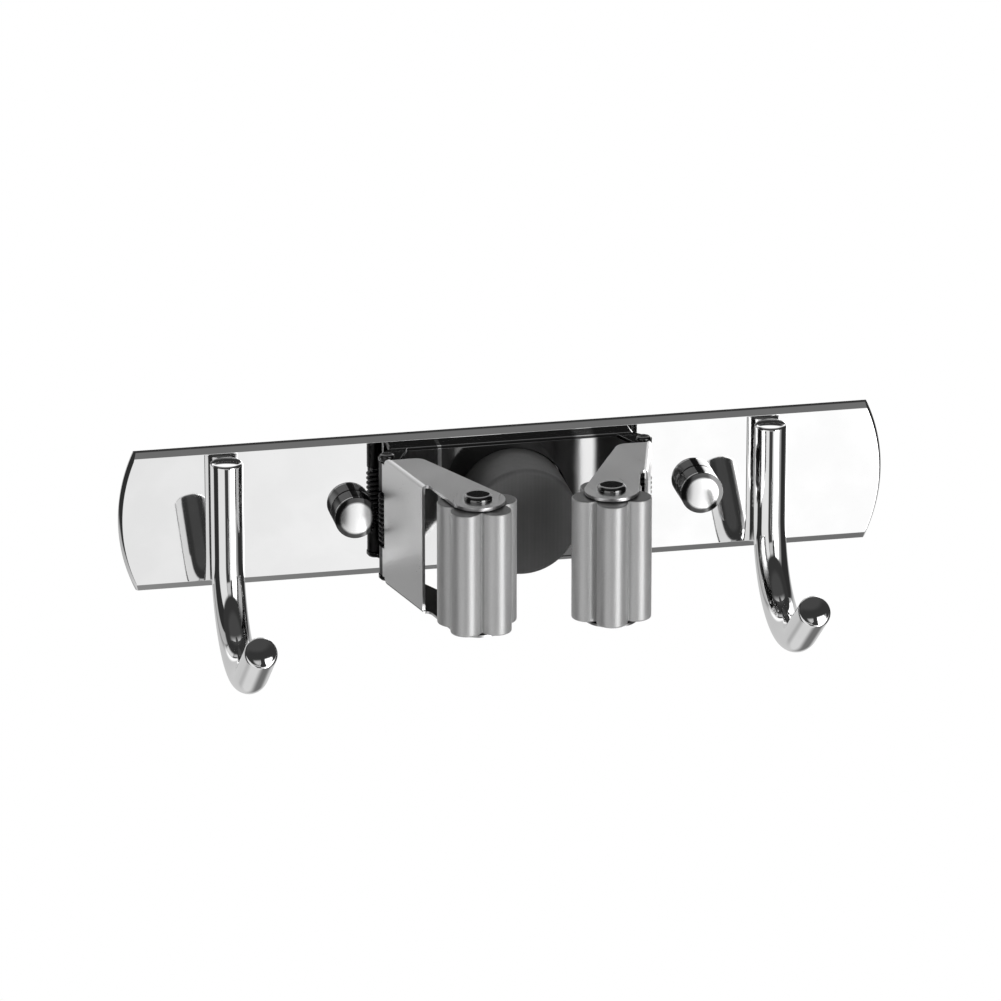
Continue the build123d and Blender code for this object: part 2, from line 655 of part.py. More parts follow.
def make_drum():
    """The rubber drum, stretched over the carrier's disc."""
    inner_face = DRUM_FRONT - DRUM_FACE
    with BuildPart() as drum:
        with BuildSketch(Plane(origin=(CLIP_MIDDLE, 0, 0), x_dir=(1, 0, 0), z_dir=(0, 0, 1))):
            Polygon(
                (0, out(DRUM_FRONT)),
                (DRUM_RADIUS, out(DRUM_FRONT)),
                (DRUM_RADIUS, out(DRUM_REAR)),
                (DRUM_BORE, out(DRUM_REAR)),
                (DRUM_BORE, out(CARRIER_REAR)),
                (CARRIER_RADIUS, out(CARRIER_REAR)),
                (CARRIER_RADIUS, out(CARRIER_FRONT)),
                (DRUM_CAVITY, out(CARRIER_FRONT)),
                (DRUM_CAVITY, out(inner_face)),
                (0, out(inner_face)),
                align=None,
            )
        revolve(axis=Axis((CLIP_MIDDLE, 0, 0), (0, 1, 0)))
        fillet(drum.edges().sort_by(Axis.Y)[0], DRUM_ROUND)
    return drum


def make_buffer_spring():
    """The coil spring between the post's flange and the carrier."""
    rest = POST_FLANGE_THICK + BUFFER_WIRE_RADIUS + BUFFER_COIL_GAP
    length = CARRIER_REAR - POST_FLANGE_THICK - 2 * (BUFFER_WIRE_RADIUS + BUFFER_COIL_GAP)
    with BuildPart() as spring:
        with BuildLine() as route:
            foot = Vector(CLIP_MIDDLE, out(rest), 0)
            start, start_way, _, _ = coil(
                foot, Vector(1, 0, 0), Vector(0, 0, 1), Vector(0, -1, 0), BUFFER_COIL_RADIUS, BUFFER_TURNS, length
            )
        with BuildSketch(Plane(origin=start, z_dir=start_way)):
            Circle(BUFFER_WIRE_RADIUS)
        sweep(path=route.wires()[0])
    return spring


def least_gaps():
    """Prints the least gap between neighbouring turns of each spring."""
    arm_pitch = 2 * ARM_COIL_HALF_HEIGHT / arm_spring_turns()
    length = CARRIER_REAR - POST_FLANGE_THICK - 2 * (BUFFER_WIRE_RADIUS + BUFFER_COIL_GAP)
    for name, pitch, radius, wire in (
        ("arm spring", arm_pitch, ARM_COIL_RADIUS, ARM_WIRE_RADIUS),
        ("buffer spring", length / BUFFER_TURNS, BUFFER_COIL_RADIUS, BUFFER_WIRE_RADIUS),
    ):
        nearest = min(
            hypot(pitch * turn / (2 * pi), 2 * radius * sin(turn / 2))
            for turn in [pi + step * pi / 180 for step in range(361)]
        )
        print(name, "least gap between turns", round(nearest - 2 * wire, 2))


os.makedirs("parts", exist_ok=True)
write(make_back_plate(), "back_plate")
write(make_base(), "clip_base")
write(make_base_rivets(), "base_rivets")
write(make_post(), "buffer_post")
write(make_carrier(), "buffer_carrier")
write(make_drum(), "buffer_drum")
write(make_buffer_spring(), "buffer_spring")
for name, side in SIDES.items():
    write(make_hook(HOOK_PLACES[name]), f"hook_{name}")
    write(make_screw(SCREW_PLACES[name]), f"wall_screw_{name}")
    write(make_seat(SCREW_PLACES[name]), f"cap_seat_{name}")
    write(make_cap(SCREW_PLACES[name]), f"screw_cap_{name}")
    write(make_pivot_pin(side), f"pivot_pin_{name}")
    write(make_arm(side), f"arm_{name}")
    write(make_arm_spring(side), f"arm_spring_{name}")
    write(make_axle(side), f"roller_axle_{name}")
    write(make_roller(side, LOBE_TURN[name]), f"roller_{name}")
    write(make_bush(side), f"roller_bush_{name}")
least_gaps()
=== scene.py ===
"""The looks of a wall mop holder rack: polished plate, bright hooks, and a spring clip with rubber rollers.

Lengths in the sub-assemblies are millimetres. +X is to the right, +Z is up, the wall is y = 0, and a
depth is measured outwards from the front face of the back plate. Meshes are made in metres.
"""

import logging
from collections.abc import Callable, Sequence
from dataclasses import dataclass, field
from enum import Enum
from math import acos, asin, atan2, ceil, cos, degrees, hypot, pi, radians, sin, sqrt, tan

import bmesh
import bpy
from mathutils import Matrix, Vector

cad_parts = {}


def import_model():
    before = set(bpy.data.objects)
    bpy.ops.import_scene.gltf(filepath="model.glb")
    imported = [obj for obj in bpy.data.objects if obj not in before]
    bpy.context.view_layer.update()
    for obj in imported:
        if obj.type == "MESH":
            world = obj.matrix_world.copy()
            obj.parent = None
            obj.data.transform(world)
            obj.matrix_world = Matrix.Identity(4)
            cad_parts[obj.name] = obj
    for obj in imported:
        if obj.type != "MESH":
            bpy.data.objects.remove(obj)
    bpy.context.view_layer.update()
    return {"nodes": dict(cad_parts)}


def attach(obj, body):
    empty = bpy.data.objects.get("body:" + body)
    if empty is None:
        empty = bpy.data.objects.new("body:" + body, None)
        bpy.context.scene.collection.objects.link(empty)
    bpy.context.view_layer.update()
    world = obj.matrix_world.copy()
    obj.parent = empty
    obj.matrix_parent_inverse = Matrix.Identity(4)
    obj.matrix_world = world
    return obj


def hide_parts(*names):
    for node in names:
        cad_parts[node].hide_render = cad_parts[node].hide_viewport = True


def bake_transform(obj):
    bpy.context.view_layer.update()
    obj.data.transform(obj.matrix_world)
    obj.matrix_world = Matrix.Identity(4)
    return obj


LOG = logging.getLogger("mop_rack")
MM = 0.001
PLATE_THICK = 2.5
CLIP_MIDDLE = 1.6

Point2 = tuple[float, float]
Place = Callable[[float, float, float], Vector]


class Side(Enum):
    """The two sides of the rack, as seen from the room."""

    LEFT = -1
    RIGHT = 1

    @property
    def word(self) -> str:
        """The side's name in node names."""
        return self.name.lower()


class Cut(Enum):
    """What a cutter does to a piece."""

    REMOVE = "DIFFERENCE"
    KEEP = "INTERSECT"


# Places


def out(depth: float) -> float:
    """The y, in millimetres, of a place so far outwards from the plate's front face."""
    return -(PLATE_THICK + depth)


def clip_place(side: Side, reach: float, depth: float, height: float) -> Vector:
    """A place in the clip.

    Args:
        side: The half of the clip it lies in.
        reach: Its distance sideways from the clip's middle.
        depth: Its distance outwards from the plate's front face.
        height: Its z.

    Returns:
        The place in the row frame, in millimetres.
    """
    return Vector((CLIP_MIDDLE + side.value * reach, out(depth), height))


def facing(x: float, z: float) -> Place:
    """Places across a wall-side centre: right, up and outwards from it."""
    return lambda across, up, depth: Vector((x + across, out(depth), z + up))


def standing(x: float, y: float) -> Place:
    """Places round an upright line: x, y and z from its foot."""
    return lambda right, back, height: Vector((x + right, y + back, height))


# Outlines


def rounded(corners: Sequence[tuple[float, float, float]], steps: int = 6) -> list[Point2]:
    """Rounds the corners of a closed outline.

    Args:
        corners: Each corner's two coordinates and its radius.
        steps: The number of straight pieces in each rounded corner.

    Returns:
        The points of the rounded outline.
    """
    outline: list[Point2] = []
    for index, (a, b, radius) in enumerate(corners):
        here = Vector((a, b))
        if radius <= 0:
            outline.append((a, b))
            continue
        before = (Vector(corners[index - 1][:2]) - here).normalized()
        after = (Vector(corners[(index + 1) % len(corners)][:2]) - here).normalized()
        half = before.angle(after) / 2
        run = radius / tan(half)
        centre = here + (before + after).normalized() * (radius / sin(half))
        first = here + before * run - centre
        last = here + after * run - centre
        start = atan2(first.y, first.x)
        sweep = (atan2(last.y, last.x) - start + pi) % (2 * pi) - pi
        for step in range(steps + 1):
            turn = start + sweep * step / steps
            outline.append((centre.x + radius * cos(turn), centre.y + radius * sin(turn)))
    return outline


def arc(centre: Point2, radius: float, start: float, end: float, steps: int) -> list[Point2]:
    """Points along an arc.

    Args:
        centre: The arc's centre.
        radius: Its radius.
        start: The angle it starts at, in radians.
        end: The angle it ends at, in radians.
        steps: The number of straight pieces in it.

    Returns:
        The points, both ends included.
    """
    return [
        (
            centre[0] + radius * cos(start + (end - start) * step / steps),
            centre[1] + radius * sin(start + (end - start) * step / steps),
        )
        for step in range(steps + 1)
    ]


def touch(point: Point2, centre: Point2, radius: float, turn: int) -> Point2:
    """Where a line from a point touches a circle.

    Args:
        point: The point the line starts at.
        centre: The circle's centre.
        radius: The circle's radius.
        turn: +1 or -1, for the side of the circle that it touches.

    Returns:
        The point of contact.
    """
    dx, dy = point[0] - centre[0], point[1] - centre[1]
    angle = atan2(dy, dx) + turn * acos(radius / hypot(dx, dy))
    return (centre[0] + radius * cos(angle), centre[1] + radius * sin(angle))


# Meshes


def solid(name: str, points: Sequence[Vector], faces: Sequence[Sequence[int]]) -> bpy.types.Object:
    """Makes an object from points in millimetres.

    Args:
        name: The piece's name.
        points: Its corner points.
        faces: The indices of each face's corners.

    Returns:
        The new object, with its normals outwards.
    """
    mesh = bpy.data.meshes.new(name)
    mesh.from_pydata([point * MM for point in points], [], faces)
    shape = bmesh.new()
    shape.from_mesh(mesh)
    bmesh.ops.recalc_face_normals(shape, faces=shape.faces)
    shape.to_mesh(mesh)
    shape.free()
    thing = bpy.data.objects.new(name, mesh)
    bpy.context.collection.objects.link(thing)
    return thing


def loft(name: str, rings: Sequence[Sequence[Vector]], closed: bool = False) -> bpy.types.Object:
    """Skins a row of rings with the same number of points each.

    Args:
        name: The piece's name.
        rings: The rings, in order.
        closed: Whether the last ring joins the first, in place of a face at each end.

    Returns:
        The skinned object.
    """
    count = len(rings[0])
    points = [point for ring in rings for point in ring]
    faces: list[list[int]] = []
    spans = len(rings) if closed else len(rings) - 1
    for span in range(spans):
        low, high = span * count, (span + 1) % len(rings) * count
        for index in range(count):
            after = (index + 1) % count
            faces.append([low + index, low + after, high + after, high + index])
    if not closed:
        faces.append(list(range(count)))
        faces.append([(len(rings) - 1) * count + index for index in range(count)])
    return solid(name, points, faces)


def turned(
    name: str, profile: Sequence[Point2], place: Place, steps: int = 96, closed: bool = False
) -> bpy.types.Object:
    """Turns a profile about the third direction of a place.

    Args:
        name: The piece's name.
        profile: Radius and height of each point. An open profile starts and ends near the axis.
        place: Gives the place for two directions across the axis and one along it.
        steps: The number of faces round the axis.
        closed: Whether the profile is a loop, as in a ring.

    Returns:
        The turned object.
    """
    rings = [
        [
            place(radius * cos(2 * pi * step / steps), radius * sin(2 * pi * step / steps), height)
            for step in range(steps)
        ]
        for radius, height in profile
    ]
    return loft(name, rings, closed)


def pipe(
    name: str, path: Sequence[Vector], widths: Sequence[float], steps: int = 40
) -> bpy.types.Object:
    """A round bar along a path, with its own radius at each point.

    Args:
        name: The piece's name.
        path: The centre of each ring.
        widths: The radius of each ring.
        steps: The number of faces round the bar.

    Returns:
        The bar.
    """
    rings: list[list[Vector]] = []
    across = Vector((1.0, 0.0, 0.0))
    for index, (centre, width) in enumerate(zip(path, widths)):
        before = path[max(index - 1, 0)]
        after = path[min(index + 1, len(path) - 1)]
        along = (after - before).normalized()
        across = (across - along * across.dot(along)).normalized()
        other = along.cross(across)
        rings.append(
            [
                centre
                + across * (width * cos(2 * pi * step / steps))
                + other * (width * sin(2 * pi * step / steps))
                for step in range(steps)
            ]
        )
    return loft(name, rings)


def blanked(
    name: str,
    outlines: Sequence[Sequence[Point2]],
    low: float,
    high: float,
    edge: float,
    place: Place,
    edge_steps: int = 2,
) -> bpy.types.Object:
    """A flat blank with rounded edges, cut from outlines.

    Args:
        name: The piece's name.
        outlines: The outer outline, then the outline of each hole.
        low: Where the blank starts in its third direction.
        high: Where it ends.
        edge: The radius of its edges.
        place: Gives the place for the outline's two directions and the third.
        edge_steps: How finely its edges are rounded.

    Returns:
        The blank.
    """
    sheet = bpy.data.curves.new(name, "CURVE")
    sheet.dimensions = "2D"
    sheet.fill_mode = "BOTH"
    sheet.extrude = (high - low) / 2 - edge
    sheet.bevel_depth = edge
    sheet.bevel_resolution = edge_steps
    sheet.offset = -edge
    for outline in outlines:
        run = sheet.splines.new("POLY")
        run.points.add(len(outline) - 1)
        for point, (a, b) in zip(run.points, outline):
            point.co = (a, b, 0.0, 1.0)
        run.use_cyclic_u = True
    holder = bpy.data.objects.new(name, sheet)
    bpy.context.collection.objects.link(holder)
    filled = bpy.data.meshes.new_from_object(
        holder.evaluated_get(bpy.context.evaluated_depsgraph_get())
    )
    bpy.data.objects.remove(holder)
    bpy.data.curves.remove(sheet)
    shape = bmesh.new()
    shape.from_mesh(filled)
    bmesh.ops.remove_doubles(shape, verts=shape.verts, dist=1e-4)
    middle = (low + high) / 2
    points = [place(corner.co.x, corner.co.y, corner.co.z + middle) for corner in shape.verts]
    faces = [[corner.index for corner in face.verts] for face in shape.faces]
    shape.free()
    bpy.data.meshes.remove(filled)
    return solid(name, points, faces)


def settle(thing: bpy.types.Object) -> None:
    """Applies a piece's modifiers to its mesh."""
    mesh = bpy.data.meshes.new_from_object(
        thing.evaluated_get(bpy.context.evaluated_depsgraph_get())
    )
    thing.modifiers.clear()
    thing.data = mesh


def carve(thing: bpy.types.Object, cutter: bpy.types.Object, cut: Cut) -> None:
    """Cuts a piece with a cutter, which is used up.

    Args:
        thing: The piece.
        cutter: The shape that cuts it.
        cut: Whether the piece keeps what is outside the cutter or inside it.
    """
    tool = thing.modifiers.new("carve", "BOOLEAN")
    tool.operation = cut.value
    tool.solver = "EXACT"
    tool.object = cutter
    bpy.context.view_layer.update()
    settle(thing)
    bpy.data.objects.remove(cutter)


def unite(thing: bpy.types.Object, parts: Sequence[bpy.types.Object]) -> bpy.types.Object:
    """Joins parts of one piece into one object.

    Args:
        thing: The part that stays.
        parts: The parts that go into it.

    Returns:
        The joined piece.
    """
    shape = bmesh.new()
    for part in (thing, *parts):
        shape.from_mesh(part.data)
    shape.to_mesh(thing.data)
    shape.free()
    for part in parts:
        bpy.data.objects.remove(part)
    return thing


def smooth(thing: bpy.types.Object, sharp: float = 35.0, edge: float = 0.0) -> bpy.types.Object:
    """Shades a piece smoothly between its sharp edges.

    Args:
        thing: The piece.
        sharp: The angle, in degrees, from which an edge is sharp.
        edge: The width, in millimetres, by which its sharp edges are rounded.

    Returns:
        The piece.
    """
    if edge > 0:
        shape = bmesh.new()
        shape.from_mesh(thing.data)
        bmesh.ops.remove_doubles(shape, verts=shape.verts, dist=1e-7)
        bmesh.ops.dissolve_limit(
            shape, angle_limit=radians(0.5), verts=shape.verts, edges=shape.edges
        )
        shape.to_mesh(thing.data)
        shape.free()
        rounding = thing.modifiers.new("edges", "BEVEL")
        rounding.width = edge * MM
        rounding.segments = 2
        rounding.limit_method = "ANGLE"
        rounding.angle_limit = radians(sharp)
        rounding.use_clamp_overlap = True
        settle(thing)
    thing.data.shade_smooth()
    thing.data.set_sharp_from_angle(angle=radians(sharp))
    weighing = thing.modifiers.new("normals", "WEIGHTED_NORMAL")
    weighing.weight = 100
    weighing.keep_sharp = True
    return thing


# Shader maths


@dataclass(frozen=True)
class Amount:
    """A number in a shader, which Python's operators combine into Math nodes."""

    paint: "Paint"
    socket: bpy.types.NodeSocket

    def _join(self, operation: str, *others: "Amount | float") -> "Amount":
        """A Math node on this amount and others."""
        values = {index + 1: other for index, other in enumerate(others)}
        return self.paint.amount("ShaderNodeMath", {"operation": operation}, {0: self, **values})

    def __add__(self, other: "Amount | float") -> "Amount":
        """This plus another."""
        return self._join("ADD", other)

    def __sub__(self, other: "Amount | float") -> "Amount":
        """This minus another."""
        return self._join("SUBTRACT", other)

    def __rsub__(self, other: float) -> "Amount":
        """A number minus this."""
        return self.paint.amount("ShaderNodeMath", {"operation": "SUBTRACT"}, {0: other, 1: self})

    def __mul__(self, other: "Amount | float") -> "Amount":
        """This times another."""
        return self._join("MULTIPLY", other)

    __radd__ = __add__
    __rmul__ = __mul__

    def __truediv__(self, other: "Amount | float") -> "Amount":
        """This divided by another."""
        return self._join("DIVIDE", other)

    def __neg__(self) -> "Amount":
        """This with its sign turned."""
        return self * -1.0

    def step(self, low: float, high: float) -> "Amount":
        """A soft step that goes from 0 at low to 1 at high."""
        return self.paint.amount(
            "ShaderNodeMapRange",
            {"interpolation_type": "SMOOTHSTEP"},
            {"Value": self, "From Min": low, "From Max": high, "To Min": 0.0, "To Max": 1.0},
        )

    def band(self, low: float, high: float, soft: float) -> "Amount":
        """1 between low and high, with soft edges of the given width."""
        return self.step(low - soft, low + soft) * (1.0 - self.step(high - soft, high + soft))

    def size(self) -> "Amount":
        """This without its sign."""
        return self._join("ABSOLUTE")

    def power(self, exponent: float) -> "Amount":
        """This raised to a power."""
        return self._join("POWER", exponent)


class Paint:
    """The nodes of one material or of the world."""

    def __init__(self, tree: bpy.types.NodeTree) -> None:
        """Starts with an empty tree.

        Args:
            tree: The node tree to fill.
        """
        self.tree = tree
        self.tree.nodes.clear()

    def node(
        self,
        kind: str,
        settings: dict[str, object] | None = None,
        values: dict[int | str, object] | None = None,
    ) -> bpy.types.Node:
        """Adds a node.

        Args:
            kind: The node's type.
            settings: Its settings, which are set first. A ramp's stops go under "stops".
            values: A value or a link for each of its sockets.

        Returns:
            The new node.
        """
        made = self.tree.nodes.new(kind)
        for name, setting in (settings or {}).items():
            if name == "stops":
                self._stops(made.color_ramp, setting)
            else:
                setattr(made, name, setting)
        for name, value in (values or {}).items():
            if isinstance(value, Amount):
                self.tree.links.new(value.socket, made.inputs[name])
            elif isinstance(value, bpy.types.NodeSocket):
                self.tree.links.new(value, made.inputs[name])
            else:
                made.inputs[name].default_value = value
        return made

    def _stops(self, ramp: bpy.types.ColorRamp, stops: Sequence[tuple[float, float]]) -> None:
        """Gives a ramp its grey stops, each a place and a level."""
        while len(ramp.elements) < len(stops):
            ramp.elements.new(1.0)
        for element, (position, level) in zip(ramp.elements, stops):
            element.position = position
            element.color = (level, level, level, 1.0)

    def amount(
        self,
        kind: str,
        settings: dict[str, object] | None = None,
        values: dict[int | str, object] | None = None,
        socket: int | str = 0,
    ) -> Amount:
        """Adds a node and returns one of its outputs as an amount.

        Args:
            kind: The node's type.
            settings: Its settings.
            values: A value or a link for each of its sockets.
            socket: The output to return.

        Returns:
            The output, ready for Python's operators.
        """
        return Amount(self, self.node(kind, settings, values).outputs[socket])

    def coordinates(
        self, stretch: tuple[float, float, float] = (1.0, 1.0, 1.0), turn: float = 0.0
    ) -> bpy.types.NodeSocket:
        """The place on the piece, scaled.

        Args:
            stretch: The scale along each axis.
            turn: A turn about the upright axis, in radians, made before the scaling.

        Returns:
            The scaled coordinates.
        """
        where = self.node("ShaderNodeTexCoord").outputs["Object"]
        turned_where = self.node(
            "ShaderNodeVectorRotate",
            {"rotation_type": "Z_AXIS"},
            {"Vector": where, "Angle": turn},
        )
        scaled = self.node(
            "ShaderNodeVectorMath",
            {"operation": "MULTIPLY"},
            {0: turned_where.outputs[0], 1: stretch},
        )
        return scaled.outputs[0]

    def place(self) -> tuple[Amount, Amount, Amount]:
        """The place on the piece along x, y and z, in millimetres."""
        parts = self.node("ShaderNodeSeparateXYZ", None, {0: self.coordinates()})
        x, y, z = (Amount(self, output) * (1 / MM) for output in parts.outputs)
        return x, y, z

    def cloud(self, where: bpy.types.NodeSocket, scale: float, detail: float = 3.0) -> Amount:
        """A noise between 0 and 1.

        Args:
            where: The coordinates.
            scale: Its scale, in lumps per metre of those coordinates.
            detail: Its detail.

        Returns:
            The noise.
        """
        return self.amount(
            "ShaderNodeTexNoise", None, {"Vector": where, "Scale": scale, "Detail": detail}
        )

    def tint(
        self, mask: Amount, low: Sequence[float], high: Sequence[float]
    ) -> bpy.types.NodeSocket:
        """A colour between two others.

        Args:
            mask: 0 for the first colour, 1 for the second.
            low: The first colour.
            high: The second colour.

        Returns:
            The mixed colour.
        """
        mixed = self.node(
            "ShaderNodeMix",
            {"data_type": "RGBA"},
            {0: mask, 6: (*low, 1.0), 7: (*high, 1.0)},
        )
        return mixed.outputs[2]

    def relief(self, height: Amount, depth: float, strength: float) -> bpy.types.NodeSocket:
        """A bump.

        Args:
            height: The height of the surface, between 0 and 1.
            depth: The real height of 1, in metres.
            strength: How strongly it shows.

        Returns:
            The bumped normal.
        """
        bump = self.node(
            "ShaderNodeBump", None, {"Height": height, "Distance": depth, "Strength": strength}
        )
        return bump.outputs[0]

    def surface(self, values: dict[int | str, object]) -> None:
        """Ends a material in one Principled surface with these sockets."""
        skin = self.node("ShaderNodeBsdfPrincipled", None, values)
        self.node("ShaderNodeOutputMaterial", None, {"Surface": skin.outputs[0]})


def new_paint(name: str) -> tuple[bpy.types.Material, Paint]:
    """A new material and its nodes."""
    material = bpy.data.materials.new(name)
    material.use_nodes = True
    return material, Paint(material.node_tree)


def grey(level: float) -> tuple[float, float, float]:
    """A neutral colour."""
    return (level, level, level)


# Finishes


@dataclass(frozen=True)
class PolishedSteel:
    """Bright sheet or bar: nearly a mirror, with faint haze, hairlines and waviness."""

    slot: str
    name: str
    level: float
    roughness: float = 0.035
    haze: float = 0.03
    wave: float = 0.00002
    wave_scale: float = 55.0
    hairlines: tuple[float, float, float] = (1.0, 1.0, 40.0)

    def make(self) -> bpy.types.Material:
        """Returns the finish as a material."""
        material, paint = new_paint(self.name)
        where = paint.coordinates()
        lines = paint.cloud(paint.coordinates(self.hairlines), 90.0, 4.0)
        cloud = paint.cloud(where, 70.0, 3.0)
        fine = lines.step(0.56, 0.72)
        colour = paint.tint(
            cloud.step(0.35, 0.7), grey(self.level * 0.965), grey(self.level)
        )
        paint.surface(
            {
                "Base Color": colour,
                "Metallic": 1.0,
                "Roughness": cloud * self.haze + fine * 0.02 + self.roughness,
                "Normal": paint.relief(paint.cloud(where, self.wave_scale, 1.0), self.wave, 1.0),
            }
        )
        return material


@dataclass(frozen=True)
class ReflectionPaintedSteel:
    """A polished sheet painted dark, with upright bright streaks painted where it reflects the room's bright panels:
    painted reflection.
    """

    slot: str
    name: str
    level: float
    # The level of the painted dark reflection between the streaks.
    stain: float = 0.13
    # Each painted reflection streak: where it starts and ends across, its softness, and the height it stops at.
    reflection_streaks: tuple[tuple[float, float, float, float], ...] = (
        (-22.6, -21.4, 0.3, 25.0),
        (22.5, 28.5, 1.6, 25.0),
        (-34.0, -21.0, 1.5, -5.0),
    )

    def make(self) -> bpy.types.Material:
        """Returns the finish as a material."""
        material, paint = new_paint(self.name)
        where = paint.coordinates()
        across, _, height = paint.place()
        cloud = paint.cloud(where, 70.0, 3.0)
        blotch = paint.cloud(paint.coordinates((1.0, 1.0, 0.4)), 55.0, 4.0)
        # Painted reflection: bright upright streaks and a few random blotches; the rest of the sheet is painted dark.
        painted_reflection = blotch.step(0.62, 0.80) * 0.25
        for start, end, soft, top in self.reflection_streaks:
            painted_reflection = painted_reflection + across.band(start, end, soft) * (1.0 - height.step(top - 2.0, top + 2.0))
        painted_reflection = painted_reflection.step(0.0, 1.0)
        paint.surface(
            {
                "Base Color": painted_reflection * self.level + (1.0 - painted_reflection) * self.stain,
                "Metallic": 1.0,
                "Roughness": cloud * 0.04 + blotch * 0.06 + 0.03,
                "Normal": paint.relief(paint.cloud(where, 45.0, 1.0), 0.00003, 1.0),
            }
        )
        return material


@dataclass(frozen=True)
class CapChrome:
    """A bright chrome face, with its side painted dark as painted shade and a painted highlight line before the
    rounded edge.
    """

    slot: str
    name: str
    level: float
    shaded_side_level: float = 0.09
    face_depth: float = 7.5
    highlight_line_depth: float = 6.2

    def make(self) -> bpy.types.Material:
        """Returns the finish as a material."""
        material, paint = new_paint(self.name)
        where = paint.coordinates()
        depth = -paint.place()[1] - PLATE_THICK
        face = depth.step(self.face_depth, self.face_depth + 0.12)
        # Painted highlight: a bright line round the side just behind the face.
        line = depth.band(self.highlight_line_depth, self.highlight_line_depth + 0.35, 0.05)
        cloud = paint.cloud(where, 120.0, 3.0)
        lines = paint.cloud(paint.coordinates((1.0, 60.0, 1.0)), 90.0, 3.0)
        bright = face + line
        # Painted shade: the side is painted dark, with drawn lines in it.
        side = (lines * 0.4 + 0.8) * self.shaded_side_level
        paint.surface(
            {
                "Base Color": bright * (cloud * 0.04 + self.level) + (1.0 - bright) * side,
                "Metallic": 1.0,
                "Roughness": face * 0.08 + cloud * 0.04 + lines * 0.05 + 0.04,
                "Normal": paint.relief(cloud, 0.00001, 0.6),
            }
        )
        return material


@dataclass(frozen=True)
class SatinSteel:
    """Sheet with a satin grain along one direction, with painted shade on its lower lug and towards the hinge."""

    slot: str
    name: str
    level: float
    turn: float
    roughness: float = 0.30
    low_lug: float = -20.7
    hinge: float = -15.5

    def make(self) -> bpy.types.Material:
        """Returns the finish as a material."""
        material, paint = new_paint(self.name)
        grain = paint.cloud(
            paint.coordinates((900.0, 26.0, 900.0), self.turn), 2.2, 5.0
        )
        cloud = paint.cloud(paint.coordinates(), 60.0, 2.0)
        _, inwards, height = paint.place()
        # Painted shade: the upper face of the lower lug, under the roller, and the part behind the hinge line are
        # painted nearly black.
        painted_shade = height.band(self.low_lug - 0.2, self.low_lug + 0.2, 0.08)
        painted_shade = (painted_shade + inwards.step(self.hinge - 0.2, self.hinge + 0.2)).step(0.0, 1.0)
        tone = ((grain * 0.6 + cloud * 0.4) * 0.12 + 0.93) * self.level
        paint.surface(
            {
                "Base Color": tone * (1.0 - painted_shade * 0.97),
                "Metallic": 1.0,
                "Roughness": grain * 0.10 + cloud * 0.06 + (self.roughness - 0.08),
                "Normal": paint.relief(grain, 0.000012, 0.35),
            }
        )
        return material


@dataclass(frozen=True)
class MouldedRubber:
    """Smooth moulded rubber with a fine grain and a few specks, with painted shade in the valleys between the lobes
    and on the cut ends.
    """

    slot: str
    name: str
    level: float
    roughness: float = 0.38
    sheen: float = 0.26
    grain: float = 2600.0
    relief: float = 0.00002
    half_length: float = 20.3
    axis: Point2 = (21.4, 56.6)
    # The radius from the axis within which the valleys get painted shade.
    valley_shade: float = 8.0

    def make(self) -> bpy.types.Material:
        """Returns the finish as a material."""
        material, paint = new_paint(self.name)
        where = paint.coordinates()
        across, inwards, height = paint.place()
        # Painted shade on the cut ends, which sit under the lugs.
        shaded_end = height.size().step(self.half_length - 0.3, self.half_length)
        aside = (across - CLIP_MIDDLE).size() - self.axis[0]
        ahead = inwards - out(self.axis[1])
        radius = (aside * aside + ahead * ahead).power(0.5)
        # Painted shade in the valleys between the lobes, which also reflect less there.
        valley_shade = 1.0 - radius.step(self.valley_shade, self.valley_shade + 1.7)
        grain = paint.cloud(where, self.grain, 2.0)
        flow = paint.cloud(paint.coordinates((1.0, 1.0, 0.12)), 320.0, 3.0)
        specks = 1.0 - paint.amount(
            "ShaderNodeTexVoronoi", None, {"Vector": where, "Scale": 520.0}
        ).step(0.04, 0.10)
        shade = flow * 0.55 + grain * 0.45 - specks * 0.35
        tone = (shade.step(0.15, 0.85) * 0.17 + 0.90) * self.level
        paint.surface(
            {
                "Base Color": tone * (1.0 - shaded_end * 0.74) * (1.0 - valley_shade * 0.6),
                "Metallic": (shade.step(0.0, 1.0) * 0.1 + self.sheen) * (1.0 - valley_shade),
                "Roughness": grain * 0.12 + flow * 0.10 + (self.roughness - 0.10),
                "Normal": paint.relief(grain * 0.5 + flow * 0.5, self.relief, 0.5),
            }
        )
        return material


@dataclass(frozen=True)
class RibbedRubber:
    """Dark rubber whose skin has a fine cloth-like press pattern."""

    slot: str
    name: str
    level: float
    pitch: float = 0.00062

    def make(self) -> bpy.types.Material:
        """Returns the finish as a material."""
        material, paint = new_paint(self.name)
        scale = 1.0 / (self.pitch * 20.0)
        where = paint.coordinates()
        across = paint.amount(
            "ShaderNodeTexWave",
            {"bands_direction": "X", "wave_profile": "SIN"},
            {"Vector": where, "Scale": scale * 3.14, "Distortion": 0.6, "Detail": 1.0},
            "Fac",
        )
        upwards = paint.amount(
            "ShaderNodeTexWave",
            {"bands_direction": "Z", "wave_profile": "SIN"},
            {"Vector": where, "Scale": scale * 3.14, "Distortion": 0.6, "Detail": 1.0},
            "Fac",
        )
        cloud = paint.cloud(where, 140.0, 4.0)
        streak = paint.cloud(paint.coordinates((1.0, 1.0, 0.08)), 420.0, 3.0)
        cloth = across * 0.8 + upwards * 0.2
        colour = paint.tint(
            cloth * 0.14 + cloud * 0.40 + streak * 0.46,
            grey(self.level * 0.72),
            grey(self.level * 1.30),
        )
        paint.surface(
            {
                "Base Color": colour,
                "Roughness": cloth * 0.10 + cloud * 0.12 + 0.46,
                "Specular IOR Level": 0.40,
                "Normal": paint.relief(cloth * 0.6 + cloud * 0.4, 0.00002, 0.3),
            }
        )
        return material


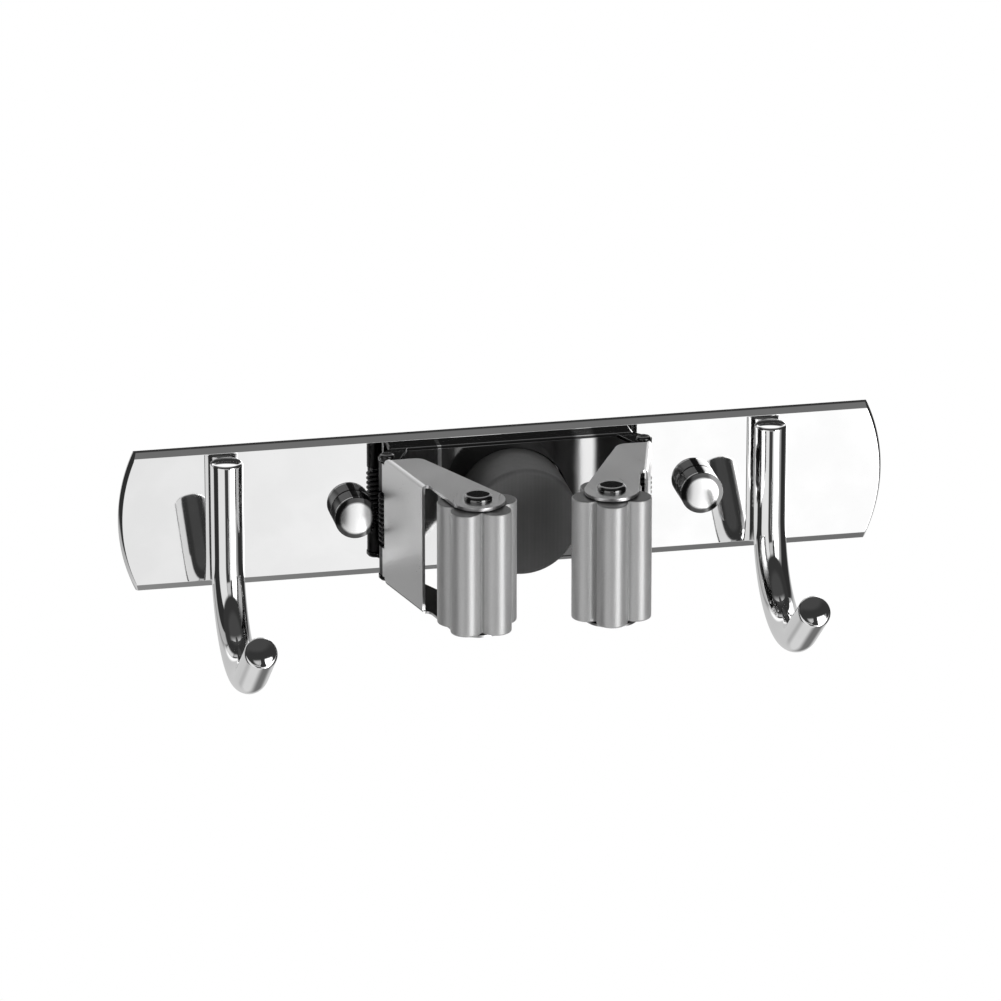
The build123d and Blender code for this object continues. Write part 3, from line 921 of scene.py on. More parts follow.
@dataclass(frozen=True)
class TurnedSteel:
    """Bare steel with fine rings or drawn lines, a little duller than the sheet."""

    slot: str
    name: str
    level: float
    roughness: float = 0.24
    lines: tuple[float, float, float] = (1.0, 1.0, 9.0)

    def make(self) -> bpy.types.Material:
        """Returns the finish as a material."""
        material, paint = new_paint(self.name)
        lines = paint.cloud(paint.coordinates(self.lines), 700.0, 4.0)
        cloud = paint.cloud(paint.coordinates(), 180.0, 3.0)
        colour = paint.tint(
            lines * 0.5 + cloud * 0.5, grey(self.level * 0.84), grey(self.level * 1.12)
        )
        paint.surface(
            {
                "Base Color": colour,
                "Metallic": 1.0,
                "Roughness": lines * 0.10 + cloud * 0.10 + (self.roughness - 0.10),
                "Normal": paint.relief(lines, 0.00001, 0.4),
            }
        )
        return material


@dataclass(frozen=True)
class MouldedPlastic:
    """Matt moulded plastic with a faint grain."""

    slot: str
    name: str
    colour: tuple[float, float, float]
    roughness: float = 0.5

    def make(self) -> bpy.types.Material:
        """Returns the finish as a material."""
        material, paint = new_paint(self.name)
        grain = paint.cloud(paint.coordinates(), 1800.0, 3.0)
        shade = paint.tint(
            grain, [part * 0.88 for part in self.colour], [part * 1.10 for part in self.colour]
        )
        paint.surface(
            {
                "Base Color": shade,
                "Roughness": grain * 0.14 + (self.roughness - 0.07),
                "Normal": paint.relief(grain, 0.00002, 0.4),
            }
        )
        return material


ARM_LEAN = radians(14.5)


class Finish(Enum):
    """The finishes of the rack."""

    PLATE = PolishedSteel(
        "plate_steel", "plate mirror steel", 0.90, 0.02, 0.02, 0.000004, 30.0, (60.0, 1.0, 1.0)
    )
    HOOK = PolishedSteel("hook_chrome", "hook bright bar", 0.86, 0.03, 0.03, 0.00002, 60.0)
    # The clip's sheet carries painted reflection streaks on a dark painted level.
    CLIP = ReflectionPaintedSteel("clip_steel", "clip dark polished sheet", 0.80)
    ARM_LEFT = SatinSteel("arm_steel", "arm satin sheet left", 0.66, ARM_LEAN)
    ARM_RIGHT = SatinSteel("arm_steel", "arm satin sheet right", 0.66, -ARM_LEAN)
    RIVET = PolishedSteel("rivet_steel", "rivet dark bright", 0.17, 0.06, 0.05, 0.00002, 160.0)
    PIN = TurnedSteel("rivet_steel", "pin oiled steel", 0.08, 0.22)
    SPRING = TurnedSteel("spring_steel", "spring black wire", 0.06, 0.30, (2.0, 2.0, 2.0))
    CARRIER = TurnedSteel("carrier_steel", "carrier turned steel", 0.58)
    ROLLER = MouldedRubber("roller_rubber", "roller light grey rubber", 0.66)
    BUSH = MouldedPlastic("bush_plastic", "bush natural plastic", (0.80, 0.79, 0.76))
    BUFFER = RibbedRubber("buffer_rubber", "buffer dark rubber", 0.18)
    CAP = CapChrome("cap_chrome", "cap bright shell", 0.93)
    SEAT = MouldedPlastic("seat_plastic", "seat black plastic", (0.035, 0.035, 0.035), 0.4)
    WELD = TurnedSteel("hook_chrome", "weld bright steel", 0.62, 0.16, (6.0, 6.0, 6.0))
    SCREW = TurnedSteel("screw_steel", "screw bare steel", 0.55)


@dataclass
class Finisher:
    """Keeps the finishes, and dresses each piece with one."""

    nodes: dict[str, bpy.types.Object]
    materials: dict[Finish, bpy.types.Material] = field(default_factory=dict)

    def material(self, finish: Finish) -> bpy.types.Material:
        """Returns a finish's material, made once."""
        if finish not in self.materials:
            self.materials[finish] = finish.value.make()
        return self.materials[finish]

    def dress(
        self, piece: bpy.types.Object, finish: Finish, body: str, *stands_for: str
    ) -> bpy.types.Object:
        """Finishes a piece and puts it on a body.

        Args:
            piece: The piece.
            finish: Its finish.
            body: The body it rides on.
            *stands_for: The CAD nodes that it replaces.

        Returns:
            The piece.
        """
        piece.data.materials.clear()
        piece.data.materials.append(self.material(finish))
        if stands_for:
            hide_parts(*stands_for)
        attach(piece, body)
        LOG.info("%s rides on %s, %d faces", piece.name, body, len(piece.data.polygons))
        return piece

    def repaint(self, finish: Finish, *names: str) -> None:
        """Gives CAD nodes whose shape is right a better material.

        Args:
            finish: The finish.
            *names: The nodes.
        """
        for name in names:
            for slot in self.nodes[name].material_slots:
                slot.material = self.material(finish)
            LOG.info("%s keeps its shape", name)


# Sub-assemblies


@dataclass
class BackPlate:
    """The bowed-ended plate with its bevelled front."""

    half_length: float = 119.8
    half_height: float = 23.5
    bulge: float = 5.2
    long_bevel: Point2 = (2.0, 0.6)
    end_bevel: Point2 = (1.0, 1.6)
    edge: float = 0.12
    screw_places: tuple[float, float] = (-49.6, 63.6)
    screw_height: float = -1.0
    screw_hole: float = 2.6
    rivet_reach: float = 30.5
    rivet_height: float = 15.9

    def outline(self, long_inset: float, end_inset: float) -> list[Point2]:
        """The plate's outline, drawn in from its edges.

        Args:
            long_inset: How far the straight edges are drawn in.
            end_inset: How far the bowed ends are drawn in.

        Returns:
            The outline's points, x and z, always the same number of them.
        """
        radius = (self.half_height**2 + self.bulge**2) / (2 * self.bulge)
        centre = self.half_length + self.bulge - radius
        bowed = radius - end_inset
        top = self.half_height - long_inset
        swing = asin(top / bowed)
        right = arc((centre, 0.0), bowed, -swing, swing, 48)
        left = arc((-centre, 0.0), bowed, pi - swing, pi + swing, 48)
        return right + left

    def levels(self) -> list[tuple[float, float, float]]:
        """How far the long edges and the ends are drawn in, at each distance from the wall."""
        edge, front = self.edge, PLATE_THICK
        wide, shallow = self.long_bevel
        narrow, deep = self.end_bevel
        slope = narrow / deep
        return [
            (edge, edge, 0.0),
            (edge * 0.3, edge * 0.3, edge * 0.3),
            (0.0, 0.0, edge),
            (0.0, 0.0, front - deep - edge),
            (0.0, edge * 0.25, front - deep),
            (0.0, (deep - shallow - edge) * slope, front - shallow - edge),
            (edge * 0.6, (deep - shallow) * slope, front - shallow),
            (edge * 2.4, (deep - shallow + edge * 0.6) * slope, front - shallow + edge * 0.6),
            (wide - edge * 2.0, narrow - edge * slope, front - edge),
            (wide, narrow, front - edge * 0.3),
            (wide + edge * 1.6, narrow + edge * 1.6, front),
        ]

    def build(self, finisher: Finisher) -> None:
        """Builds the plate and cuts its holes."""
        rings = [
            [Vector((x, -level, z)) for x, z in self.outline(long_inset, end_inset)]
            for long_inset, end_inset, level in self.levels()
        ]
        plate = loft("plate_sheet", rings)
        for x in self.screw_places:
            hole = [(self.screw_hole, -3.0), (self.screw_hole, 1.0)]
            carve(plate, turned("hole", hole, facing(x, self.screw_height), 64), Cut.REMOVE)
        for side in Side:
            for height in (-self.rivet_height, self.rivet_height):
                sink = [(2.83, -3.0), (2.83, -2.5), (1.62, -1.3), (1.62, 0.4)]
                place = facing(CLIP_MIDDLE + side.value * self.rivet_reach, height)
                carve(plate, turned("sink", sink, place, 48), Cut.REMOVE)
        finisher.dress(smooth(plate, 30.0), Finish.PLATE, "rack", "back_plate")
        finisher.repaint(Finish.RIVET, "base_rivets")


@dataclass
class Hook:
    """A bent bar, welded to the plate, with slightly crowned ends."""

    side: Side
    x: float
    radius: float = 5.3
    top: float = 20.8
    bend_start: float = -12.0
    bend_radius: float = 28.0
    rise: float = 39.0
    tip: float = 22.5
    end_round: float = 1.0
    top_crown: float = 0.3
    tip_crown: float = 0.8
    weld_half: float = 3.3
    weld_top: float = 15.6
    weld_bottom: float = -11.6

    def centreline(self) -> list[Vector]:
        """The middle of the bar, from its top to its tip."""
        middle = out(self.radius)
        points = [
            Vector((self.x, middle, self.top + (self.bend_start - self.top) * step / 12))
            for step in range(12)
        ]
        turn = radians(90.0 + self.rise)
        centre_y = middle - self.bend_radius
        steps = 72
        for step in range(steps + 1):
            swing = turn * step / steps
            points.append(
                Vector(
                    (
                        self.x,
                        centre_y + self.bend_radius * cos(swing),
                        self.bend_start - self.bend_radius * sin(swing),
                    )
                )
            )
        heading = Vector((0.0, -cos(radians(self.rise)), sin(radians(self.rise))))
        last = points[-1]
        points += [last + heading * (self.tip * step / 6) for step in range(1, 7)]
        return points

    def end(self, crown: float) -> list[Point2]:
        """How deep and how wide the rings of a rounded end with the given crown are."""
        flat = self.radius - self.end_round
        edge = [
            (self.end_round * (1 - sin(turn)) + crown, flat + self.end_round * cos(turn))
            for turn in [radians(90.0 * step / 6) for step in range(7)]
        ]
        face = [(crown * ring**2, flat * ring) for ring in (0.85, 0.7, 0.55, 0.4, 0.25, 0.1, 0.01)]
        return edge + face

    def bar(self) -> bpy.types.Object:
        """The bar itself, with rounded and crowned ends."""
        path = self.centreline()
        first_way = (path[1] - path[0]).normalized()
        last_way = (path[-1] - path[-2]).normalized()
        top, tip = self.end(self.top_crown), self.end(self.tip_crown)
        start = [(path[0] + first_way * depth, width) for depth, width in reversed(top)]
        finish = [(path[-1] - last_way * depth, width) for depth, width in tip]
        middle = [(point, self.radius) for point in path[1:-1]]
        rings = start + middle + finish
        return pipe(
            f"hook_bar_{self.side.word}",
            [centre for centre, _ in rings],
            [width for _, width in rings],
            72,
        )

    def weld(self, hand: int) -> bpy.types.Object:
        """A rippled weld along one side of the bar."""
        rings: list[list[Vector]] = []
        steps = 90
        for step in range(steps + 1):
            along = step / steps
            height = self.weld_bottom + (self.weld_top - self.weld_bottom) * along
            swell = 0.35 + 0.65 * sqrt(max(0.0, 1 - (2 * along - 1) ** 16))
            ripple = 1.0 + 0.06 * sin(along * 2 * pi * 17)
            width = 1.55 * swell * ripple
            centre = Vector((self.x + hand * (self.weld_half - 0.55), out(0.25), height))
            rings.append(
                [
                    centre + Vector((width * cos(turn), width * 0.8 * sin(turn), 0.0))
                    for turn in [2 * pi * part / 20 for part in range(20)]
                ]
            )
        name = "outer" if hand == self.side.value else "inner"
        return loft(f"weld_{name}_{self.side.word}", rings)

    def build(self, finisher: Finisher) -> None:
        """Builds the bar and its welds."""
        node = f"hook_{self.side.word}"
        finisher.dress(smooth(self.bar(), 50.0), Finish.HOOK, "rack", node)
        for hand in (-1, 1):
            finisher.dress(smooth(self.weld(hand), 50.0), Finish.WELD, "rack")


@dataclass
class CappedScrew:
    """A wall screw, the black ring under its head, and the bright cap over it."""

    side: Side
    x: float
    z: float = -1.0
    cap_radius: float = 6.9
    cap_side: float = 7.3
    cap_dome: float = 0.6
    wall: float = 0.6
    thread_pitch: float = 1.6

    def cap(self) -> bpy.types.Object:
        """The domed cap, a thin shell."""
        outside = self.dome(self.cap_radius, self.cap_side, self.cap_dome, 0.22)
        inside = self.dome(
            self.cap_radius - self.wall, self.cap_side - self.wall, self.cap_dome, 0.3
        )
        profile = [(self.cap_radius - 0.15, 0.25), (self.cap_radius, 0.45), *outside]
        profile += [*reversed(inside), (self.cap_radius - self.wall, 0.25)]
        return turned(
            f"cap_shell_{self.side.word}", profile, facing(self.x, self.z), 96, closed=True
        )

    def dome(self, radius: float, side: float, rise: float, edge: float) -> list[Point2]:
        """A dome's profile from its side up to its top.

        Args:
            radius: The radius of its side.
            side: How high its side is.
            rise: How far the dome stands above its side.
            edge: The radius of the edge between them.

        Returns:
            Radius and height of each point.
        """
        sphere = (radius**2 + rise**2) / (2 * rise)
        centre = side + rise - sphere
        low = asin((side + edge * 0.35 - centre) / sphere)
        points = [(radius, side - edge * 0.9)]
        points.append((radius - edge * 0.05, side - edge * 0.4))
        points.append((radius - edge * 0.22, side))
        for step in range(15):
            turn = low + (pi / 2 - low) * (step + 0.6) / 14.6
            points.append((max(sphere * cos(turn), 0.01), centre + sphere * sin(turn)))
        return points

    def screw(self) -> bpy.types.Object:
        """The screw with its thread."""
        place = facing(self.x, self.z)
        head = arc((2.8, 3.0), 1.2, 0.0, pi / 2, 8)
        profile = [(0.02, -33.4), (0.3, -33.4), (2.0, -29.5), (2.0, -2.5), (1.8, -2.4), (1.8, 1.8), (4.0, 1.8), *head, (0.02, 4.2)]
        core = turned(f"screw_{self.side.word}", profile, place, 48)
        turns, steps = 17, 40
        rings: list[list[Vector]] = []
        for step in range(turns * steps + 1):
            turn = 2 * pi * step / steps
            depth = -4.0 - self.thread_pitch * step / steps
            taper = min(1.0, (33.4 + depth) / 5.0, step / 20)
            root = 1.9 if depth > -29.5 else 1.9 + (depth + 29.5) * 0.42
            crest = root + 0.1 + 0.55 * max(taper, 0.02)
            ring = [(root, 0.34), (crest, 0.04), (crest, -0.04), (root, -0.34)]
            rings.append(
                [place(r * cos(turn), r * sin(turn), depth + offset) for r, offset in ring]
            )
        return unite(core, [loft("thread", rings)])

    def seat(self) -> bpy.types.Object:
        """The ring under the head, with the rim that holds the cap."""
        profile = [(2.1, 0.0), (6.27, 0.0), (6.27, 3.4), (5.5, 3.4), (5.5, 1.8), (2.1, 1.8)]
        return turned(
            f"cap_ring_{self.side.word}", profile, facing(self.x, self.z), 72, closed=True
        )

    def build(self, finisher: Finisher) -> None:
        """Builds the screw, its ring and its cap."""
        word = self.side.word
        finisher.dress(smooth(self.cap(), 45.0), Finish.CAP, "rack", f"screw_cap_{word}")
        finisher.dress(smooth(self.seat(), 30.0), Finish.SEAT, "rack", f"cap_seat_{word}")
        finisher.dress(smooth(self.screw(), 30.0), Finish.SCREW, "rack", f"wall_screw_{word}")


@dataclass
class ClipBase:
    """The pan behind the arms, with its ears and feet."""

    half_length: float = 40.0
    half_height: float = 20.6
    depth: float = 5.2
    sheet: float = 1.2
    bend: float = 1.0
    hole: float = 18.2
    ear_round: float = 2.8
    pivot: Point2 = (41.8, 10.6)

    def pan(self) -> bpy.types.Object:
        """The pan, open to the wall, with the buffer's hole."""
        place = facing(CLIP_MIDDLE, 0.0)

        def corner(inset: float) -> list[Point2]:
            """The pan's outline, drawn in by an inset."""
            wide, high = self.half_length - inset, self.half_height - inset
            radius = max(self.bend - inset * 0.4, 0.3)
            return rounded(
                [(wide, -high, radius), (wide, high, radius), (-wide, high, radius), (-wide, -high, radius)]
            )

        outer = [(0.0, 0.0)] + [
            (self.bend * (1 - cos(turn)), self.depth - self.bend * (1 - sin(turn)))
            for turn in [radians(15.0 * step) for step in range(7)]
        ]
        rings = [[place(a, b, depth) for a, b in corner(inset)] for inset, depth in outer]
        pan = loft("base_pan", rings)
        hollow = [(self.sheet, -0.5), (self.sheet, self.depth - self.sheet - 0.2), (self.sheet + 0.25, self.depth - self.sheet)]
        rings = [[place(a, b, depth) for a, b in corner(inset)] for inset, depth in hollow]
        carve(pan, loft("hollow", rings), Cut.REMOVE)
        bore = [(self.hole, 2.0), (self.hole, 4.95), (self.hole + 0.3, self.depth + 0.05), (self.hole + 0.5, 7.0)]
        carve(pan, turned("bore", bore, place, 128), Cut.REMOVE)
        return pan

    def ear(self, side: Side, low: float) -> bpy.types.Object:
        """One ear, from the pan's corner to round the pivot pin."""
        arm_start, arm_face = 3.2, 1.5
        along = (-sin(ARM_LEAN), cos(ARM_LEAN))
        off = (cos(ARM_LEAN), sin(ARM_LEAN))
        nose_depth = 14.4
        far = (nose_depth - self.pivot[1] - arm_face * off[1]) / along[1]
        near_web = [
            (self.pivot[0] + run * along[0] + arm_face * off[0], self.pivot[1] + run * along[1] + arm_face * off[1])
            for run in (far, arm_start)
        ]
        start = atan2(near_web[1][1] - self.pivot[1], near_web[1][0] - self.pivot[0])
        ring = arc(self.pivot, self.ear_round, radians(22.0), radians(-50.0), 14)
        outline = [
            (34.0, 4.6),
            (37.9, 13.4),
            (38.9, nose_depth),
            *near_web,
            (self.pivot[0] + self.ear_round * cos(start * 0.5), self.pivot[1] + self.ear_round * sin(start * 0.5)),
            *ring,
            (40.0, 4.6),
        ]
        return blanked(
            "ear",
            [outline],
            low,
            low + self.sheet,
            0.12,
            lambda reach, depth, height: clip_place(side, reach, depth, height),
        )

    def foot(self, side: Side, end: int) -> bpy.types.Object:
        """One turned-in foot."""
        low, high = (12.4, 19.5) if end > 0 else (-19.5, -12.4)
        outline = rounded([(24.0, low, 1.0), (37.0, low, 1.0), (37.0, high, 0.0), (24.0, high, 0.0)])
        place = facing(CLIP_MIDDLE, 0.0)
        return blanked(
            "foot",
            [outline],
            0.0,
            self.sheet,
            0.1,
            lambda reach, height, depth: place(side.value * reach, height, depth),
        )

    def build(self, finisher: Finisher) -> None:
        """Builds the base in one piece."""
        pan = smooth(self.pan(), 35.0)
        parts = [
            self.ear(side, low)
            for side in Side
            for low in (self.half_height - self.sheet, -self.half_height)
        ]
        parts += [self.foot(side, end) for side in Side for end in (-1, 1)]
        base = unite(pan, parts)
        finisher.dress(smooth(base, 35.0), Finish.CLIP, "rack", "clip_base")


@dataclass
class Arm:
    """One folded arm with its rolled knuckles, its riveted axle and its pivot pin."""

    side: Side
    sheet: float = 1.0
    half_height: float = 21.7
    pivot: Point2 = (41.8, 10.6)
    web_inner: float = 1.55
    web_start: float = 3.3
    web_end: float = 31.5
    rear_corner: float = 3.0
    fold: float = 1.4
    lug_start: float = 6.4
    lug_rear: Point2 = (32.0, 17.0)
    lug_rear_round: float = 4.0
    roller: Point2 = (21.4, 56.6)
    lug_tip: float = 8.6
    lug_edge_off: float = 0.25
    notch_round: float = 2.0
    window_round: float = 2.6
    knuckle_inner: float = 9.5
    knuckle_outer: float = 19.2
    knuckle_opening: float = 104.5
    pin_radius: float = 1.5
    coil_radius: float = 2.3
    wire: float = 0.5
    coil_half: float = 8.2

    @property
    def body(self) -> str:
        """The body that the arm rides on."""
        return f"{self.side.word}_arm"

    @property
    def web_outer(self) -> float:
        """How far the web's outer face lies off the pin's axis."""
        return self.web_inner + self.sheet

    def web(self, along: float, off: float) -> Point2:
        """Reach and depth of a place along the web and off it."""
        return (
            self.pivot[0] - along * sin(ARM_LEAN) + off * cos(ARM_LEAN),
            self.pivot[1] + along * cos(ARM_LEAN) + off * sin(ARM_LEAN),
        )

    def level(self, reach: float, depth: float, height: float) -> Vector:
        """A place from its reach, depth and height."""
        return clip_place(self.side, reach, depth, height)

    def along_web(self, off: float, height: float, along: float) -> Vector:
        """A place from how far it is off the pin, its height and how far along the web it is."""
        return self.level(*self.web(along, off), height)

    def channel(self) -> bpy.types.Object:
        """A long channel with the arm's folds."""
        outside, inside = self.half_height, self.half_height - self.sheet
        section = rounded(
            [
                (-50.0, outside, 0.0),
                (self.web_outer, outside, self.fold),
                (self.web_outer, -outside, self.fold),
                (-50.0, -outside, 0.0),
                (-50.0, -inside, 0.0),
                (self.web_inner, -inside, self.fold - self.sheet),
                (self.web_inner, inside, self.fold - self.sheet),
                (-50.0, inside, 0.0),
            ],
            8,
        )
        rings = [[self.along_web(off, z, along) for off, z in section] for along in (-8.0, 80.0)]
        return loft(f"arm_sheet_{self.side.word}", rings)

    def plan(self) -> list[Point2]:
        """The arm's outline from above, reach and depth."""
        front = self.web(self.web_end, self.web_outer + 0.01)
        size = self.notch_round
        notch = [
            self.web(self.web_end + size - size * sin(turn), self.lug_edge_off + size - size * cos(turn))
            for turn in [radians(90.0 - 9.0 * step) for step in range(11)]
        ]
        outer_touch = touch(notch[-1], self.roller, self.lug_tip, 1)
        inner_touch = touch(self.lug_rear, self.roller, self.lug_tip, -1)
        start = atan2(outer_touch[1] - self.roller[1], outer_touch[0] - self.roller[0])
        end = atan2(inner_touch[1] - self.roller[1], inner_touch[0] - self.roller[0])
        tip = arc(self.roller, self.lug_tip, start, end % (2 * pi), 40)
        rear = rounded(
            [
                (*inner_touch, 0.0),
                (*self.lug_rear, self.lug_rear_round),
                (*self.web(self.lug_start, self.web_inner), 0.0),
            ]
        )
        return [
            *rear[1:],
            self.web(self.web_start, self.web_inner - 0.01),
            self.web(self.web_start, self.web_outer + 0.01),
            front,
            *notch,
            *tip,
        ]

    def rear_cut(self, hand: int) -> bpy.types.Object:
        """What is cut away round a rear corner of the web."""
        size, top = self.rear_corner, self.half_height
        corner = arc((self.web_start + size, top - size), size, pi, pi / 2, 10)
        outline = [(self.web_start - 1.0, top - size), *corner, (self.web_start + size, top + 1.0), (self.web_start - 1.0, top + 1.0)]
        rings = [
            [self.along_web(off, hand * height, along) for along, height in outline]
            for off in (-1.0, self.web_outer + 1.0)
        ]
        return loft("corner", rings)

    def window(self) -> bpy.types.Object:
        """What is cut away between the lugs in front of the web."""
        top = self.half_height - self.sheet
        outline = rounded(
            [
                (self.web_end, -top, self.window_round),
                (self.web_end, top, self.window_round),
                (90.0, top, 0.0),
                (90.0, -top, 0.0),
            ],
            10,
        )
        rings = [
            [self.along_web(off, height, along) for along, height in outline]
            for off in (-1.5, self.web_outer + 1.0)
        ]
        return loft("window", rings)

    def knuckle(self, low: float) -> bpy.types.Object:
        """One rolled knuckle round the pin."""
        free = ARM_LEAN + radians(self.knuckle_opening)
        outer = arc(self.pivot, self.web_outer, ARM_LEAN, free - 2 * pi, 48)
        inner = arc(self.pivot, self.web_inner, free - 2 * pi, ARM_LEAN, 48)
        outline = [self.web(self.web_start, self.web_outer), *outer, *inner, self.web(self.web_start, self.web_inner)]
        return blanked(
            "knuckle", [outline], low, low + self.knuckle_outer - self.knuckle_inner, 0.08, self.level
        )

    def arm_sheet(self) -> bpy.types.Object:
        """The whole folded arm."""
        sheet = self.channel()
        rings = [[self.level(*point, height) for point in self.plan()] for height in (-30.0, 30.0)]
        carve(sheet, loft("plan", rings), Cut.KEEP)
        carve(sheet, self.window(), Cut.REMOVE)
        for hand in (-1, 1):
            carve(sheet, self.rear_cut(hand), Cut.REMOVE)
        sheet = smooth(sheet, 40.0, 0.14)
        sheet.modifiers.clear()
        knuckles = [self.knuckle(low) for low in (self.knuckle_inner, -self.knuckle_outer)]
        return smooth(unite(sheet, knuckles), 40.0)

    def axle(self) -> bpy.types.Object:
        """The roller's axle: a crowned head above and a smaller riveted head below."""
        top = self.half_height
        head = [(4.65, top), (4.65, top + 0.35), *arc((3.35, top + 0.4), 1.3, 0.12, pi / 2 - 0.25, 9)]
        crown = [(2.9, top + 1.70), (1.5, top + 1.74), (0.02, top + 1.76)]
        tail = [(0.02, -top - 1.0), (1.5, -top - 0.97), (2.7, -top - 0.85), (3.4, -top - 0.5), (3.6, -top - 0.1), (3.55, -top)]
        profile = [*tail, (2.0, -top), (2.0, top), *head, *crown]
        x, y, _ = self.level(*self.roller, 0.0)
        return turned(f"axle_rivet_{self.side.word}", profile, standing(x, y), 80)

    def pin(self) -> bpy.types.Object:
        """The pivot pin with a rounded head at each end."""
        end = 20.6
        head = [(2.4, end), (2.4, end + 0.3), (2.22, end + 0.56), (1.8, end + 0.74), (1.0, end + 0.8), (0.02, end + 0.8)]
        profile = [(radius, -height) for radius, height in reversed(head)]
        profile += [(self.pin_radius, -end), (self.pin_radius, end), *head]
        x, y, _ = self.level(*self.pivot, 0.0)
        return turned(f"pivot_rod_{self.side.word}", profile, standing(x, y), 56)

    def spring(self) -> bpy.types.Object:
        """The torsion spring: a leg on the base, the coil, and a stub at the knuckle's free edge."""
        lean = 10.0
        bend = degrees(asin(self.wire / self.coil_radius))
        stub = degrees(ARM_LEAN) + self.knuckle_opening - 14.0
        turns = 10 + (180 + lean - stub - bend) / 360
        start = pi - radians(lean)
        steps = ceil(turns * 28)
        x, y, _ = self.level(*self.pivot, 0.0)

        def wire_at(turn: float, height: float) -> Vector:
            """A point of the coil."""
            return Vector(
                (
                    x + self.side.value * self.coil_radius * cos(turn),
                    y + self.coil_radius * sin(turn),
                    height,
                )
            )

        coil = [
            wire_at(start + 2 * pi * turns * step / steps, self.coil_half * (2 * step / steps - 1))
            for step in range(steps + 1)
        ]
        first_way = (coil[1] - coil[0]).normalized()
        leg = [coil[0] - first_way * (8.6 * (1 - step / 8)) for step in range(8)]
        last_way = (coil[-1] - coil[-2]).normalized()
        foot = coil[-1] + last_way * self.wire
        rise = [
            coil[-1] + last_way * (self.wire * sin(turn)) + Vector((0, 0, self.wire * (1 - cos(turn))))
            for turn in [radians(90.0 * step / 6) for step in range(1, 7)]
        ]
        stub_run = [foot + Vector((0, 0, self.wire + 4.5 * step / 4)) for step in range(1, 5)]
        path = leg + coil + rise + stub_run
        return pipe(f"torsion_spring_{self.side.word}", path, [self.wire] * len(path), 14)

    def build(self, finisher: Finisher) -> None:
        """Builds the arm, its axle, its pin and its spring."""
        word = self.side.word
        grain = Finish.ARM_LEFT if self.side is Side.LEFT else Finish.ARM_RIGHT
        finisher.dress(self.arm_sheet(), grain, self.body, f"arm_{word}")
        finisher.dress(smooth(self.axle(), 40.0), Finish.RIVET, self.body, f"roller_axle_{word}")
        finisher.dress(smooth(self.pin(), 40.0), Finish.PIN, "rack", f"pivot_pin_{word}")
        spring = smooth(self.spring(), 60.0)
        spring.data.materials.append(finisher.material(Finish.SPRING))
        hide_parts(f"arm_spring_{word}")
        low = self.level(*self.pivot, -self.coil_half) * MM
        high = self.level(*self.pivot, self.coil_half) * MM
        self.body
        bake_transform(spring)
        LOG.info("%s bends with %s", spring.name, self.body)


@dataclass
class Roller:
    """A lobed rubber roller."""

    side: Side
    turn: float
    axis: Point2 = (21.4, 56.6)
    half_length: float = 20.3
    lobes: int = 5
    lobe_radius: float = 4.95
    lobe_circle: float = 8.1
    bore: float = 3.0
    end_round: float = 0.55
    steps: int = 300

    def outline(self) -> list[float]:
        """The roller's radius at each step round it, its valleys a little filled."""
        sharp = []
        for step in range(self.steps):
            angle = 2 * pi * step / self.steps
            widest = 0.0
            for lobe in range(self.lobes):
                swing = angle - radians(self.turn) - 2 * pi * lobe / self.lobes
                reach = self.lobe_radius**2 - (self.lobe_circle * sin(swing)) ** 2
                if reach > 0 and cos(swing) > 0:
                    widest = max(widest, self.lobe_circle * cos(swing) + sqrt(reach))
            sharp.append(widest)
        spread = 3
        return [
            sum(sharp[(step + near) % self.steps] for near in range(-spread, spread + 1)) / (2 * spread + 1)
            for step in range(self.steps)
        ]

    def lobed(self) -> bpy.types.Object:
        """The rubber, with rounded ends and a bore."""
        x, y, _ = clip_place(self.side, *self.axis, 0.0)
        place = standing(x, y)
        radii = self.outline()
        rings: list[list[Vector]] = []

        def ring(inset: float, height: float) -> list[Vector]:
            """The outline drawn in by an inset, at a height."""
            return [
                place((r - inset) * cos(2 * pi * step / self.steps), (r - inset) * sin(2 * pi * step / self.steps), height)
                for step, r in enumerate(radii)
            ]

        def round_ring(radius: float, height: float) -> list[Vector]:
            """A round ring, at a height."""
            return [
                place(radius * cos(2 * pi * step / self.steps), radius * sin(2 * pi * step / self.steps), height)
                for step in range(self.steps)
            ]

        curve = [radians(18.0 * step) for step in range(6)]
        top = self.half_length
        for swing in curve:
            rings.append(ring(self.end_round * (1 - sin(swing)), -top + self.end_round * (1 - cos(swing))))
        for height in (-14.0, -7.0, 0.0, 7.0, 14.0):
            rings.append(ring(0.0, height))
        for swing in reversed(curve):
            rings.append(ring(self.end_round * (1 - sin(swing)), top - self.end_round * (1 - cos(swing))))
        rings.append(round_ring(self.bore + 1.0, top))
        rings.append(round_ring(self.bore, top))
        rings.append(round_ring(self.bore, -top))
        rings.append(round_ring(self.bore + 1.0, -top))
        return loft(f"roller_rubber_{self.side.word}", rings, closed=True)

    def build(self, finisher: Finisher) -> None:
        """Builds the roller and finishes its bush."""
        word = self.side.word
        body = f"{word}_roller"
        finisher.dress(smooth(self.lobed(), 40.0), Finish.ROLLER, body, f"roller_{word}")
        finisher.repaint(Finish.BUSH, f"roller_bush_{word}")


